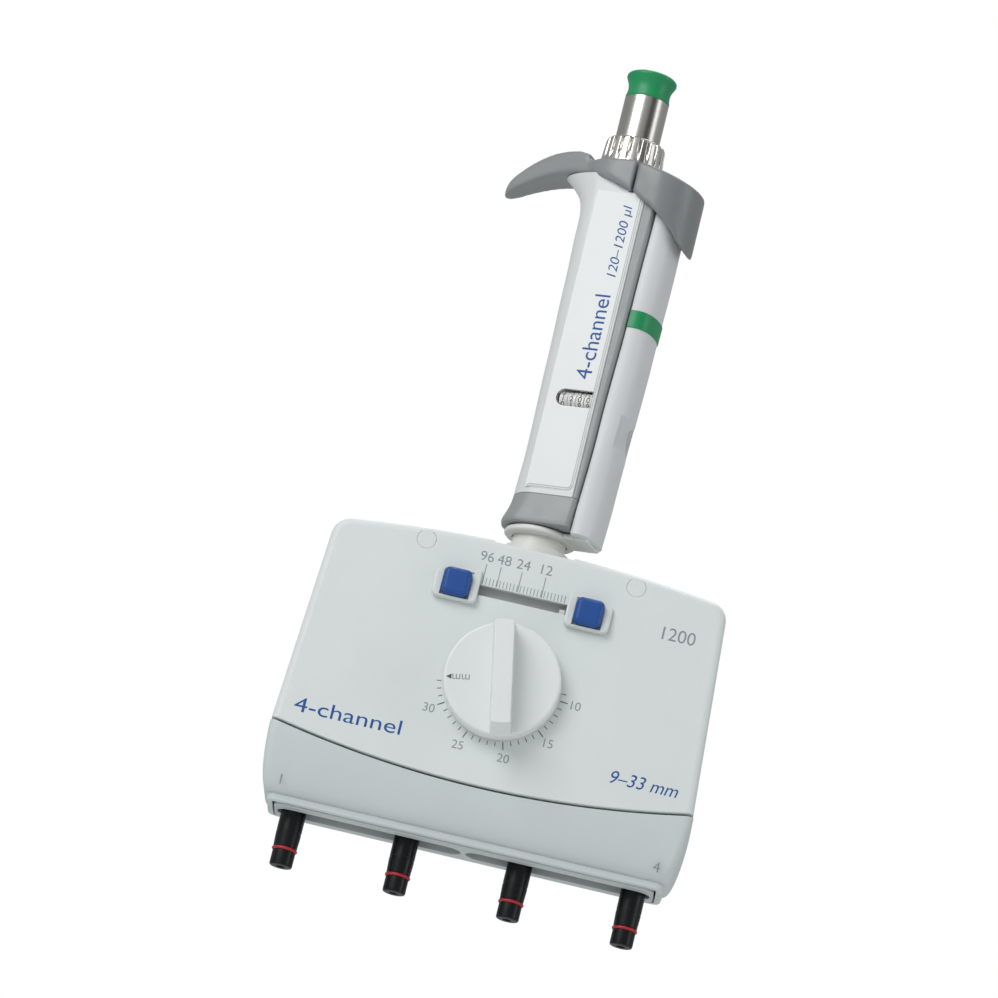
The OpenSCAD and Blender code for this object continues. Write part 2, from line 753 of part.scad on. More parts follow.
// silicone hoses from the cylinders to the cones, each swept along an easing curve
module air_hose(channel) {
  side = channel - 2.5;
  x0 = side * cylinder_pitch;
  x1 = side * pitch_max;
  rings = 16;
  sides = 8;
  function ease(t) = t - sin(360 * t) / 6.2832;
  function middle(t) = [x0 + (x1 - x0) * ease(t), cylinder_y * (1 - ease(t)),
    nozzle_low + (nipple_top - nozzle_low) * t];
  function slope(t) = let (v = [(x1 - x0), -cylinder_y, 0] * (1 - cos(360 * t)) + [0, 0,
    nipple_top - nozzle_low]) v / norm(v);
  function ring(t) = let (w = slope(t), u = [w[2], 0, -w[0]] / norm([w[2], 0, -w[0]]), v = cross(w, u))
    [for (k = [0:sides - 1]) middle(t) + hose_r * (u * cos(360 * k / sides) + v * sin(360 * k / sides))];
  points = [for (i = [0:rings]) each ring(i / rings)];
  faces = [for (i = [0:rings - 1]) for (k = [0:sides - 1]) let (n = (k + 1) % sides, a = sides * i,
    b = a + sides)
    each [[a + k, a + n, b + k], [a + n, b + n, b + k]]];
  ends = [[for (k = [sides - 1:-1:0]) k], [for (k = [0:sides - 1]) sides * rings + k]];
  polyhedron(points, concat(faces, ends));
}

module air_hoses() {
  color("white", 0.7) for (channel = [1:4]) {
    air_hose(channel);
  }
}

module dial_bush() {
  color("tan") translate([0, 0, dial_z]) difference() {
    along_y(bush_r, front_y, pinion_front - 0.4);
    along_y(shaft_r + slip, front_y - over, 0);
  }
}

// ---- lower ejector ----

module ejector_tube() {
  // tube round the neck that the ring pushes on, with the cross bar on its lower end
  tube_out = neck_r + 1.5;
  color("ivory") difference() {
    union() {
      translate([0, 0, bar_z]) cylinder(r = tube_out, h = ring_z - play - bar_z);
      box([-arm_x, 5, bar_z], [arm_x, plate_back, bar_z + bar_h]);
    }
    translate([0, 0, bar_z - over]) cylinder(r = neck_r + 0.3, h = 40);
  }
}

module ejector_plate() {
  // slotted plate round the cones, hung on two arms from the tube's cross bar
  slot_half = cone_r + 0.5;
  arm_front = rail_y + 2.7;
  reach = half_w - 6;
  color("lightgray") difference() {
    union() {
      box([-reach, -plate_back, plate_low], [reach, plate_back, plate_top]);
      for (x = [-1, 1]) {
        box([x * (arm_x - 2) - 2, arm_front, plate_low], [x * (arm_x - 2) + 2, plate_back, bar_z]);
      }
    }
    for (x = [-1, 1]) {
      box([min(x * 0.75, x * (reach - 1)), -slot_half, plate_low - over],
        [max(x * 0.75, x * (reach - 1)), slot_half, plate_top + over]);
    }
  }
}

// ---- pistons ----

module piston_bridge() {
  reach = 1.5 * cylinder_pitch + 4;
  rod_top = handle_low - 5.4 - play;
  color("lightgray") {
    translate([0, 0, bridge_top - bridge_t]) cylinder(r = 2.2, h = rod_top - bridge_top + bridge_t);
    box([-reach, -2.4, bridge_top - bridge_t], [reach, cylinder_y + 5, bridge_top]);
  }
}

module pistons() {
  color("silver") for (i = [-1.5:1.5]) {
    translate([i * cylinder_pitch, cylinder_y, 0]) {
      translate([0, 0, piston_low + 3]) cylinder(r = piston_r, h = bridge_top - bridge_t - piston_low - 3);
      translate([0, 0, piston_low]) cylinder(r = bore_r - 0.8, h = 3);
    }
  }
}

module piston_seals() {
  color("white") for (i = [-1.5:1.5]) {
    translate([i * cylinder_pitch, cylinder_y, 0]) tube(bore_r - slip, bore_r - 0.8, piston_low + 0.6,
      piston_low + 2.4);
  }
}

module piston_springs() {
  color("silver") for (x = [-1, 1]) {
    translate([x * cylinder_pitch, cylinder_y, 0]) coil(2.4, 0.35, spring_low + 0.02,
      bridge_top - bridge_t - 0.02, 9);
  }
}

// ---- spacing drive ----

module dial_knob() {
  bar_w = 6.5;
  color("whitesmoke") translate([0, 0, dial_z]) rotate([90, 0, 0]) {
    translate([0, 0, -front_y + play]) cylinder(r1 = dial_r, r2 = dial_r - 0.3, h = dial_t);
    rotate([0, 0, grip_turn]) intersection() {
      translate([-bar_w / 2, -dial_r, -front_y + play]) cube([bar_w, 2 * dial_r, dial_t + grip_h]);
      translate([0, 0, -front_y]) cylinder(r1 = dial_r, r2 = dial_r - 1.6, h = dial_t + grip_h + play);
    }
  }
}

// involute tooth flank of the pinion: half its angle at radius r
function roll(a) = tan(a) * 57.29578 - a;
function half_tooth(r) = (90 - backlash * 28.648) / pinion_teeth + roll(20) - roll(acos(min(1,
  pinion_r * cos(20) / r)));

module pinion_shape() {
  base_r = pinion_r * cos(20);
  root_r = pinion_r - 1.25;
  radii = [for (i = [0:4]) base_r + (pinion_r + 0.85 - base_r) * i / 4];
  polygon([for (t = [0:pinion_teeth - 1]) let (m = 360 * t / pinion_teeth) each concat(
    [root_r * [cos(m - half_tooth(base_r)), sin(m - half_tooth(base_r))]],
    [for (r = radii) r * [cos(m - half_tooth(r)), sin(m - half_tooth(r))]],
    [for (i = [4:-1:0]) radii[i] * [cos(m + half_tooth(radii[i])), sin(m + half_tooth(radii[i]))]],
    [root_r * [cos(m + half_tooth(base_r)), sin(m + half_tooth(base_r))]])]);
}

// rack along +X with its teeth pointing down at the pitch line, a gap centred at x = 0
module rack_shape(from, to, back) {
  half = (3.14159 - backlash) / 4;
  first = floor(from / 3.14159);
  last = floor(to / 3.14159);
  polygon(concat([[from * 1, back], [from * 1, 1.25]],
    [for (t = [first:last]) let (c = (t + 0.5) * 3.14159) if (c - 1.6 > from && c + 1.6 < to)
      each [[c - half - 0.45, 1.25], [c - half + 0.29, -0.8], [c + half - 0.29, -0.8],
        [c + half + 0.45, 1.25]]],
    [[to, 1.25], [to, back]]));
}

module dial_shaft() {
  color("silver") translate([0, 0, dial_z]) {
    along_y(shaft_r, front_y - 0.2, pinion_front - 0.2);
    translate([0, cam_front - 0.2, 0]) rotate([90, 0,
      0]) linear_extrude(cam_front - 0.2 - pinion_front) pinion_shape();
    along_y(shaft_r, pinion_front - 0.3, cam_front - 0.2);
  }
}

module cam_plate() {
  // sliding plate whose slanted slots draw the carriages together as the dial turns
  slot_r = pin_r + 0.15;
  low = pin_z - drive_travel - 4;
  top = pin_z + 4;
  wide = 1.5 * pitch_max + slot_r + 2;
  narrow = 1.5 * pitch_min + slot_r + 3;
  rack_high = dial_z + 5;
  color("goldenrod") {
    difference() {
      slab(cam_front, cam_back) polygon([[-wide, top], [-wide, pin_z - 4], [-narrow, low], [narrow, low],
        [wide, pin_z - 4], [wide, top]]);
      for (i = [-1.5:1.5]) {
        a = [i * pitch_max, pin_z];
        b = [i * pitch_min, pin_z - drive_travel];
        u = (b - a) / norm(b - a) * slot_r;
        slab(cam_front - over, cam_back + over) {
          translate(a) circle(r = slot_r);
          translate(b) circle(r = slot_r);
          polygon([a + [-u[1], u[0]], b + [-u[1], u[0]], b + [u[1], -u[0]], a + [u[1], -u[0]]]);
        }
      }
    }
    slab(rack_y, cam_front + 0.01) translate([pinion_r, dial_z]) rotate(-90) rack_shape(-5,
      drive_travel + 5, 5);
    slab(cam_front, cam_back) translate([pinion_r + 1.5, top - over]) square([3.5, rack_high - top + over]);
  }
}

module spacing_slider() {
  // rack above the pinion, with the strip and the pointer that show in the stop slot
  lug_x = drive_travel / 2 - 0.3;
  arm_low = dial_z + pinion_r + 3;
  strip_front = inner_front + 1.6;
  color("lightgray") {
    slab(slider_front, slider_front + 1.6) translate([0, dial_z + pinion_r]) rack_shape(-5,
      drive_travel + 5, 4);
    box([lug_x - 2, strip_front, arm_low], [lug_x + 2, slider_front + 1.6, slot_z + 1]);
    box([-22, strip_front, slot_z - 2.2], [44, strip_front + 1, slot_z + 2.2]);
    box([lug_x - 0.8, front_y + 0.5, slot_z - slot_h / 2 + 0.15], [lug_x + 0.8, strip_front + 0.01,
      slot_z - 0.15]);
  }
}

module stop_tab(side) {
  // tab on the front of the housing, with a neck through the slot and a keeper behind it
  x = side * stop_x;
  inner = x - side * tab_w / 2;
  outer = x + side * tab_w / 2;
  tab_back = front_y - 0.15;
  color("gainsboro") difference() {
    union() {
      slab(tab_back - tab_t, tab_back) polygon([[outer, slot_z - tab_h / 2], [outer,
        slot_z + tab_h / 2 - 0.6],
        [inner, slot_z + tab_h / 2 + 1], [inner, slot_z - tab_h / 2]]);
      box([x - neck_half, tab_back - 0.01, slot_z + 0.1], [x + neck_half, inner_front + 0.15,
        slot_z + slot_h / 2 - 0.1]);
      box([x - neck_half, inner_front + 0.15, slot_z + 0.1], [x + neck_half, inner_front + 1.15,
        slot_z + 3.4]);
    }
    box([x - button_w / 2 - 0.15, tab_back - tab_t - over, slot_z - button_w / 2 - 0.15],
      [x + button_w / 2 + 0.15, tab_back - 0.4, slot_z + button_w / 2 + 0.15]);
    translate([x, 0, stem_z]) along_y(0.55 + slip, front_y - 5, 0);
  }
}

module stop_button(side) {
  x = side * stop_x;
  back = front_y - 0.15 - 0.4 - button_travel - 0.1;
  r = 1.2;
  half = button_w / 2;
  color("royalblue") {
    slab(back - button_h, back) union() {
      translate([x - half + r, slot_z - half]) square([2 * half - 2 * r, 2 * half]);
      translate([x - half, slot_z - half + r]) square([2 * half, 2 * half - 2 * r]);
      for (i = [-1, 1]) for (k = [-1, 1]) {
        translate([x + i * (half - r), slot_z + k * (half - r)]) circle(r = r);
      }
    }
    translate([x, 0, stem_z]) along_y(0.55, back - 0.1, inner_front + 0.1);
  }
}

// ---- carriages and tip cones ----

module carriage(channel) {
  x = (channel - 2.5) * pitch_max;
  color("lightgray") translate([x, 0, 0]) difference() {
    union() {
      box([-block_half, web_front, block_low], [block_half, rail_y + 2.2, block_top]);
      box([-block_half, web_front, block_top - 0.01], [block_half, web_back, pin_z + 2]);
      translate([0, 0, pin_z]) along_y(pin_r, cam_front + 0.2, web_front + 0.01);
      translate([0, 0, block_top - 0.01]) cylinder(r = nipple_r, h = nipple_top - block_top + 0.01);
    }
    translate([0, 0, block_low - over]) cylinder(r = air_r, h = nipple_top - block_low + 2 * over);
    translate([0, 0, block_low - over]) cylinder(r = cone_r - 1, h = 5 + over);
    for (z = [rail_low, rail_high]) {
      translate([-block_half - over, rail_y, z]) rotate([0, 90, 0]) cylinder(r = rail_r + slip,
        h = 2 * block_half + 2 * over);
    }
  }
}

module tip_cone(channel) {
  x = (channel - 2.5) * pitch_max;
  seal_z = cone_low + 5;
  color("black") translate([x, 0, 0]) difference() {
    rotate_extrude() polygon([[air_r, cone_low], [cone_end_r - 0.4, cone_low], [cone_end_r, cone_low + 0.5],
      [cone_end_r, seal_z - 0.5], [cone_end_r - 0.45, seal_z - 0.5], [cone_end_r - 0.45, seal_z + 0.5],
      [cone_end_r + 0.1, seal_z + 0.5], [cone_r, cone_low + 10], [cone_r, block_low], [cone_r - 1,
        block_low],
      [cone_r - 1, block_low + 5], [air_r, block_low + 5]]);
  }
}

module tip_seals(channel) {
  x = (channel - 2.5) * pitch_max;
  color("firebrick") translate([x, 0, cone_low + 5]) rotate_extrude() difference() {
    translate([cone_end_r - 0.1, 0]) circle(r = 0.5, $fn = 24);
    square([2 * cone_end_r - 0.9, 2], center = true);
  }
}

handle_shell();
handle_frame();
label_panel();
window_lens();
finger_rest();
handle_screws();
counter_axle();
counter_drum(1);  // counter_drum_1
counter_drum(2);  // counter_drum_2
counter_drum(3);  // counter_drum_3
counter_drum(4);  // counter_drum_4
volume_ring();
setting_tube();
push_cap();
push_sleeve();
push_rod();
plunger_spring();
ejector_button();
ejector_sleeve();
ejector_band();
ejector_ring();
ejector_spring();
neck_tube();
front_cover();
rear_cover();
nose_cover();
cover_plugs();
cover_screws();
chassis();
cylinders();
rail_bracket();
guide_rails();
air_hoses();
dial_bush();
ejector_tube();
ejector_plate();
piston_bridge();
pistons();
piston_seals();
piston_springs();
dial_knob();
dial_shaft();
cam_plate();
spacing_slider();
stop_tab(-1);  // left_stop
stop_tab(1);  // right_stop
stop_button(-1);  // left_stop_button
stop_button(1);  // right_stop_button
carriage(1);  // carriage_1
carriage(2);  // carriage_2
carriage(3);  // carriage_3
carriage(4);  // carriage_4
tip_cone(1);  // tip_cone_1
tip_cone(2);  // tip_cone_2
tip_cone(3);  // tip_cone_3
tip_cone(4);  // tip_cone_4
tip_seals(1);  // tip_seals_1
tip_seals(2);  // tip_seals_2
tip_seals(3);  // tip_seals_3
tip_seals(4);  // tip_seals_4
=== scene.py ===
import math

import bmesh
import bpy
from mathutils import Matrix, Vector


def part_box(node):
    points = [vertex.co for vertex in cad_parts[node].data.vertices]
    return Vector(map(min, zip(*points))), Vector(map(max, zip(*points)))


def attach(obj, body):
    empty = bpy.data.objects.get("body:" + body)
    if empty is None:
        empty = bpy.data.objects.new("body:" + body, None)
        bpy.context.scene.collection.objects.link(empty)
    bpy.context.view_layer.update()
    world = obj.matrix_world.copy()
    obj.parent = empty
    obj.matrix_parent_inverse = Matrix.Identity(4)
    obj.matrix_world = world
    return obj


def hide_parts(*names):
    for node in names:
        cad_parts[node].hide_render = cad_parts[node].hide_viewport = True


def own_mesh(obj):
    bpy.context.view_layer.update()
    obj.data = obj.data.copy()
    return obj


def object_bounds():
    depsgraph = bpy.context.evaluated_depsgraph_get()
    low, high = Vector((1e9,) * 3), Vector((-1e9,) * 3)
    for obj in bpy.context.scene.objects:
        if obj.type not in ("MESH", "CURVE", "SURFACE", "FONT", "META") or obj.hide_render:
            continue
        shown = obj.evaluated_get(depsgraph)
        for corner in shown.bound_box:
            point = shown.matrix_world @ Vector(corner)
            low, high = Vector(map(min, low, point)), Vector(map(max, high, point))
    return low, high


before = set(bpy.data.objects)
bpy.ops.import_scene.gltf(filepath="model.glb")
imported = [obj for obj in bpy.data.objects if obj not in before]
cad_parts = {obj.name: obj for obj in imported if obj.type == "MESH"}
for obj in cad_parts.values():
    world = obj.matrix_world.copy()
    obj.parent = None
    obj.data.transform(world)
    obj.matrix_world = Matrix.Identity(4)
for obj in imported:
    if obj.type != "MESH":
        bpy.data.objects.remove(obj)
cad_low, cad_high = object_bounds()

# ---- camera ----
# A long lens a metre and a half in front of the dial and a little below the cones,
# leaning so that the handle's top tips to the right.
camera_turn = math.radians(3.081)
camera_rise = math.radians(-16)
camera_lean = math.radians(-13.903)
level = Vector((math.cos(camera_turn), math.sin(camera_turn), 0))
back = Vector((math.sin(camera_turn) * math.cos(camera_rise), -math.cos(camera_turn) * math.cos(camera_rise),
               math.sin(camera_rise)))
upright = level.cross(-back)
across = level * math.cos(camera_lean) - upright * math.sin(camera_lean)
upward = level * math.sin(camera_lean) + upright * math.cos(camera_lean)
lens = bpy.data.cameras.new("camera")
lens.sensor_width = 36
lens.lens = 202.0
lens.clip_start, lens.clip_end = 0.05, 20
camera_place = Matrix.Translation((0.0693, -1.5531, -0.5418))


def added(name, data):
    """new object in the scene that shows the data"""
    o = bpy.data.objects.new(name, data)
    bpy.context.scene.collection.objects.link(o)
    return o


camera = added("camera", lens)
camera.matrix_world = camera_place @ Matrix((across, upward, back)).transposed().to_4x4()
bpy.context.scene.camera = camera

# ---- studio ----
# White surroundings, a plain pale floor well below, one broad lamp from the upper left,
# weaker ones around it, and a dark card that gives the polished steel its dark band.
world = bpy.data.worlds.new("studio")
bpy.context.scene.world = world
world.use_nodes = True
sky_nodes, sky_links = world.node_tree.nodes, world.node_tree.links
seen, given = sky_nodes["Background"], sky_nodes.new("ShaderNodeBackground")
which, rays = sky_nodes.new("ShaderNodeMixShader"), sky_nodes.new("ShaderNodeLightPath")
seen.inputs["Color"].default_value, seen.inputs["Strength"].default_value = (1, 1, 1, 1), 1.0
given.inputs["Color"].default_value, given.inputs["Strength"].default_value = (0.97, 0.985, 1, 1), 0.4
sky_links.new(rays.outputs["Is Camera Ray"], which.inputs[0])
sky_links.new(given.outputs[0], which.inputs[1])
sky_links.new(seen.outputs[0], which.inputs[2])
sky_links.new(which.outputs[0], sky_nodes["World Output"].inputs["Surface"])

middle = (cad_low + cad_high) / 2


def facing(place, aim):
    return Matrix.Translation(place) @ (place - aim).to_track_quat("Z", "Y").to_matrix().to_4x4()


def lamp(name, place, width, height, watts, tint=(1, 1, 1)):
    data = bpy.data.lights.new(name, "AREA")
    data.shape, data.size, data.size_y, data.energy, data.color = "RECTANGLE", width, height, watts, tint
    added(name, data).matrix_world = facing(Vector(place), middle)


lamp("key_lamp", (-0.75, -1.0, 0.62), 0.9, 0.9, 12.5)
lamp("side_lamp", (1.3, -0.5, 0.25), 0.5, 1.2, 3.5)
lamp("top_lamp", (0.1, 0.35, 1.2), 0.8, 0.5, 6)
lamp("low_lamp", (0.0, -1.1, -0.9), 0.8, 0.4, 2.4)


def card(name, corners, colour, rough):
    mesh = bpy.data.meshes.new(name)
    mesh.from_pydata([Vector(c) for c in corners], [], [(0, 1, 2, 3)])
    m = bpy.data.materials.new(name)
    m.use_nodes = True
    m.node_tree.nodes["Principled BSDF"].inputs["Base Color"].default_value = (*colour, 1)
    m.node_tree.nodes["Principled BSDF"].inputs["Roughness"].default_value = rough
    mesh.materials.append(m)
    o = added(name, mesh)
    return o


floor_z, floor_half = cad_low.z - 0.36, 6
floor_corners = [(x * floor_half, y * floor_half, floor_z) for x, y in ((-1, -1), (1, -1), (1, 1), (-1, 1))]
card("floor", floor_corners, (0.86, 0.87, 0.87), 0.7)
card_near, card_far, card_low, card_high = (0.285, -0.639), (0.606, -0.35), 0.04, 0.5
dark = card("dark_card", [(*card_near, card_low), (*card_far, card_low), (*card_far, card_high),
                          (*card_near, card_high)], (0.02, 0.02, 0.02), 0.9)
dark.visible_camera = dark.visible_diffuse = dark.visible_shadow = False
bpy.context.scene.view_settings.view_transform = "Standard"

# ---- front and rear covers ----
# Two pale grey mouldings with an arched top and rounded rims, joined at mid depth and
# cut below to one long curve, with a slot for the stops and a notch for the neck.


def shade(code):
    """colour written as on a paint card, as the shader takes it"""
    parts = [int(code[i:i + 2], 16) / 255 for i in (0, 2, 4)]
    return [p / 12.92 if p < 0.04045 else ((p + 0.055) / 1.055) ** 2.4 for p in parts]


def finish(name, code, rough, metal=0.0, mottle=0.03, smear=0.06, grain=2300, relief=0.006, stretch=(1, 1, 1),
           **sockets):
    """plastic or metal with faint mottling, uneven gloss and a fine grain of some micrometres"""
    material = bpy.data.materials.new(name)
    material.use_nodes = True
    nodes, links = material.node_tree.nodes, material.node_tree.links
    shader = nodes["Principled BSDF"]
    place, fit = nodes.new("ShaderNodeTexCoord"), nodes.new("ShaderNodeMapping")
    fit.inputs["Scale"].default_value = stretch
    links.new(place.outputs["Object"], fit.inputs["Vector"])

    def noise(scale, detail):
        n = nodes.new("ShaderNodeTexNoise")
        n.inputs["Scale"].default_value, n.inputs["Detail"].default_value = scale, detail
        links.new(fit.outputs["Vector"], n.inputs["Vector"])
        return n.outputs["Fac"]

    def ramp(source, low, high):
        r = nodes.new("ShaderNodeMapRange")
        r.inputs["From Min"].default_value, r.inputs["From Max"].default_value = 0.3, 0.7
        r.inputs["To Min"].default_value, r.inputs["To Max"].default_value = low, high
        links.new(source, r.inputs["Value"])
        return r.outputs["Result"]

    colour = shade(code)
    tint = nodes.new("ShaderNodeMix")
    tint.data_type = "RGBA"
    tint.inputs[6].default_value = (*[c * (1 - mottle) for c in colour], 1)
    tint.inputs[7].default_value = (*[min(1, c * (1 + mottle)) for c in colour], 1)
    links.new(ramp(noise(60, 3), 0, 1), tint.inputs[0])
    links.new(tint.outputs[2], shader.inputs["Base Color"])
    links.new(ramp(noise(170, 4), rough - smear, rough + smear), shader.inputs["Roughness"])
    bump = nodes.new("ShaderNodeBump")
    bump.inputs["Distance"].default_value = relief / 1000
    links.new(noise(grain, 2), bump.inputs["Height"])
    links.new(bump.outputs["Normal"], shader.inputs["Normal"])
    shader.inputs["Metallic"].default_value = metal
    for socket, value in sockets.items():
        shader.inputs[socket.replace("_", " ")].default_value = value
    return material


def span(node):
    """lowest and highest corner of a CAD node, in millimetres"""
    low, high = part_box(node)
    return low * 1000, high * 1000


def solid(name, points, faces):
    """object from points in millimetres, with its faces turned outwards"""
    mesh = bpy.data.meshes.new(name)
    mesh.from_pydata([Vector(p) / 1000 for p in points], [], faces)
    work = bmesh.new()
    work.from_mesh(mesh)
    bmesh.ops.recalc_face_normals(work, faces=work.faces)
    work.to_mesh(mesh)
    work.free()
    return added(name, mesh)


def stacked(rings, ends=True):
    """points and faces of a skin over rings of equal count, closed at both ends"""
    n = len(rings[0])
    faces = [(k * n + i, k * n + (i + 1) % n, (k + 1) * n + (i + 1) % n, (k + 1) * n + i)
             for k in range(len(rings) - 1) for i in range(n)]
    if ends:
        faces += [tuple(range(n))[::-1], tuple((len(rings) - 1) * n + i for i in range(n))]
    return [p for ring in rings for p in ring], faces


def drawn_in(outline, depth):
    """outline, anticlockwise, with its edges moved inwards by one depth or one for each edge"""
    n = len(outline)
    depth = depth if isinstance(depth, list) else [depth] * n
    moved = []
    for i, p in enumerate(outline):
        before = (p - outline[i - 1]).normalized()
        after = (outline[(i + 1) % n] - p).normalized()
        a, b = Vector((-before.y, before.x)), Vector((-after.y, after.x))
        turn = a.x * b.y - a.y * b.x
        if abs(turn) < 0.08:
            mean = (a + b).normalized()
            moved.append(p + mean * (depth[i - 1] + depth[i]) / 2)
        else:
            moved.append(p + Vector((depth[i - 1] * b.y - depth[i] * a.y,
                a.x * depth[i] - b.x * depth[i - 1])) / turn)
    return moved


def arc_points(x, y, r, start, end, steps):
    return [Vector((x + r * math.cos(math.radians(start + (end - start) * i / steps)),
        y + r * math.sin(math.radians(start + (end - start) * i / steps)))) for i in range(steps + 1)]


def rim(r, steps=6):
    """(distance along the depth, draw-in) pairs of a quarter round of radius r"""
    return [(r * math.sin(math.pi / 2 * i / steps), r * (1 - math.cos(math.pi / 2 * i / steps)))
            for i in range(steps + 1)]


def carve(o, *cutters):
    """takes the cutters out of o and removes them"""
    for c in cutters:
        m = o.modifiers.new("cut", "BOOLEAN")
        m.operation, m.solver, m.object = "DIFFERENCE", "EXACT", c
    plain(o)
    for c in cutters:
        bpy.data.objects.remove(c)


def plain(o):
    """turns the object's modifiers into its mesh"""
    view = bpy.context.evaluated_depsgraph_get()
    mesh = bpy.data.meshes.new_from_object(o.evaluated_get(view), depsgraph=view)
    o.modifiers.clear()
    o.data = mesh


def soften_edges(o, width, angle=40, segments=3):
    m = o.modifiers.new("edge", "BEVEL")
    m.width, m.segments, m.limit_method, m.angle_limit = width / 1000, segments, "ANGLE", math.radians(angle)
    m.use_clamp_overlap = True
    plain(o)


def fix(o, look, body, slot, *nodes, sharp=32):
    """gives a finished mesh its material, shading and body, and hides the nodes it stands for; slot is not
    used
    """
    mesh = o.data
    mesh.materials.clear()
    mesh.materials.append(look)
    mesh.shade_smooth()
    mesh.set_sharp_from_angle(angle=math.radians(sharp))
    m = o.modifiers.new("even", "WEIGHTED_NORMAL")
    m.keep_sharp = True
    plain(o)
    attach(o, body)
    if nodes:
        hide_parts(*nodes)
    return o


cover_low, cover_high = span("front_cover")
rear_high = span("rear_cover")[1]
nose_low_z = span("nose_cover")[0].z
front_y, back_y = cover_low.y, rear_high.y
half_width = cover_high.x
split_z = cover_low.z
split_rise, crown_rise, side_lean = 6.3, 3.3, math.tan(math.radians(3.5))
corner_r, cover_wall, cover_rim = 5.7, 2.0, 2.2
crown_z = cover_high.z + 0.13
split_end_z = split_z + split_rise
split_r = (half_width ** 2 + split_rise ** 2) / (2 * split_rise)
crown_half = half_width - (crown_z - split_end_z) * side_lean - corner_r
crown_r = (crown_half ** 2 + crown_rise ** 2) / (2 * crown_rise)


def split_at(x):
    return split_z + split_r - math.sqrt(split_r ** 2 - x * x)


corner_x = half_width - 10
for _ in range(5):
    corner_z = crown_z - crown_r + math.sqrt((crown_r - corner_r) ** 2 - corner_x ** 2)
    corner_x = half_width - (corner_z - split_end_z) * side_lean - corner_r / math.cos(math.atan(side_lean))
corner_end = math.degrees(math.atan2(corner_z - crown_z + crown_r, corner_x))
right = [Vector((half_width, split_end_z))] + arc_points(corner_x, corner_z, corner_r,
    math.degrees(math.atan(side_lean)), corner_end, 12)
crown = arc_points(0, crown_z - crown_r, crown_r, corner_end, 180 - corner_end, 28)[1:-1]
split_line = [Vector((x, split_at(x))) for x in [-half_width + i * half_width / 20 for i in range(1, 40)]]
outline = right + crown + [Vector((-p.x, p.y)) for p in reversed(right)] + split_line
split_edges = len(split_line) + 1
rim_share = [1.0] * (len(outline) - split_edges) + [0.16] * split_edges


def cover_solid(name, seam_y, face_y):
    """one cover as a closed block: seam edge, walls, rounded rim and flat face"""
    way = 1 if face_y > seam_y else -1
    depths = [(seam_y, 0.25), (seam_y + way * 0.1, 0.08), (seam_y + way * 0.25, 0.0)]
    depths += [(face_y - way * (cover_rim - along), inward) for along, inward in rim(cover_rim, 8)]
    rings = [[(p.x, y, p.y) for p in drawn_in(outline, [inward * s for s in rim_share])]
        for y, inward in depths]
    return solid(name, *stacked(rings))


def bar(name, low, high):
    x0, y0, z0, x1, y1, z1 = *low, *high
    ring = [Vector((x0, y0)), Vector((x1, y0)), Vector((x1, y1)), Vector((x0, y1))]
    return solid(name, *stacked([[(p.x, p.y, z) for p in ring] for z in (z0, z1)]))


def peg(name, x, z, r, y0, y1, steps=48):
    ring = arc_points(x, z, r, 0, 360 * (steps - 1) / steps, steps - 1)
    return solid(name, *stacked([[(p.x, y, p.y) for p in ring] for y in (y0, y1)]))


def column(name, x, y, r, z0, z1, steps=64):
    ring = arc_points(x, y, r, 0, 360 * (steps - 1) / steps, steps - 1)
    return solid(name, *stacked([[(p.x, p.y, z) for p in ring] for z in (z0, z1)]))


def hollow(name, seam_y, face_y):
    """room inside one cover, open at the seam and below"""
    inner = drawn_in(outline, [cover_wall] * (len(outline) - split_edges) + [-3.0] * split_edges)
    return solid(name, *stacked([[(p.x, y, p.y) for p in inner] for y in (seam_y, face_y)]))


neck_hole_r, notch_half = 11.2, 11.7
dial_low, dial_high = span("dial_knob")
dial_x, dial_z = (dial_low.x + dial_high.x) / 2, (dial_low.z + dial_high.z) / 2
slot_end_x = 25.5
tab_low, tab_high = span("left_stop_button")
slot_z = (tab_low.z + tab_high.z) / 2
slot_half_h = 1.55
plug_x, plug_z = 30.7, (span("cover_plugs")[0].z + span("cover_plugs")[1].z) / 2
pale_plastic = finish("pale cover plastic", "d6dcdb", 0.46, mottle=0.012, smear=0.05, relief=0.004)

front = cover_solid("front_shell", 0, front_y)
carve(front, hollow("room", 1, front_y + cover_wall),
      column("well", 0, 0, neck_hole_r, crown_z - 8, crown_z + 4),
      bar("notch", (-notch_half, front_y - 1, crown_z - 1), (notch_half, 1, crown_z + 1)),
      peg("bush_hole", dial_x, dial_z, 4.5, front_y - 1, 0),
      bar("slot_cut", (-slot_end_x, front_y - 1, slot_z - slot_half_h),
          (slot_end_x, front_y + 3, slot_z + slot_half_h)),
      peg("plug_hole_left", -plug_x, plug_z, 2.8, front_y - 1, front_y + 0.8),
      peg("plug_hole_right", plug_x, plug_z, 2.8, front_y - 1, front_y + 0.8))
fix(front, pale_plastic, "housing", "cover_pale", "front_cover")

upper_screw_x, lower_screw_x = half_width - 9.7, half_width - 4.5
upper_screw_z, lower_screw_z = crown_z - 20, split_z + 8
screw_places = [(s * x, z, r) for x, z, r in ((upper_screw_x, upper_screw_z, 2.6),
    (lower_screw_x, lower_screw_z, 2.0)) for s in (-1, 1)]
rear = cover_solid("rear_shell", 0, back_y)
carve(rear, hollow("room", -1, back_y - cover_wall),
      column("well", 0, 0, neck_hole_r, crown_z - 8, crown_z + 4),
      bar("notch", (-notch_half, -1, crown_z - 1), (notch_half, back_y + 1, crown_z + 1)),
      *[peg("bore", x, z, r, back_y - 2.2, back_y + 1, 32) for x, z, r in screw_places])
fix(rear, pale_plastic, "housing", "cover_pale", "rear_cover")

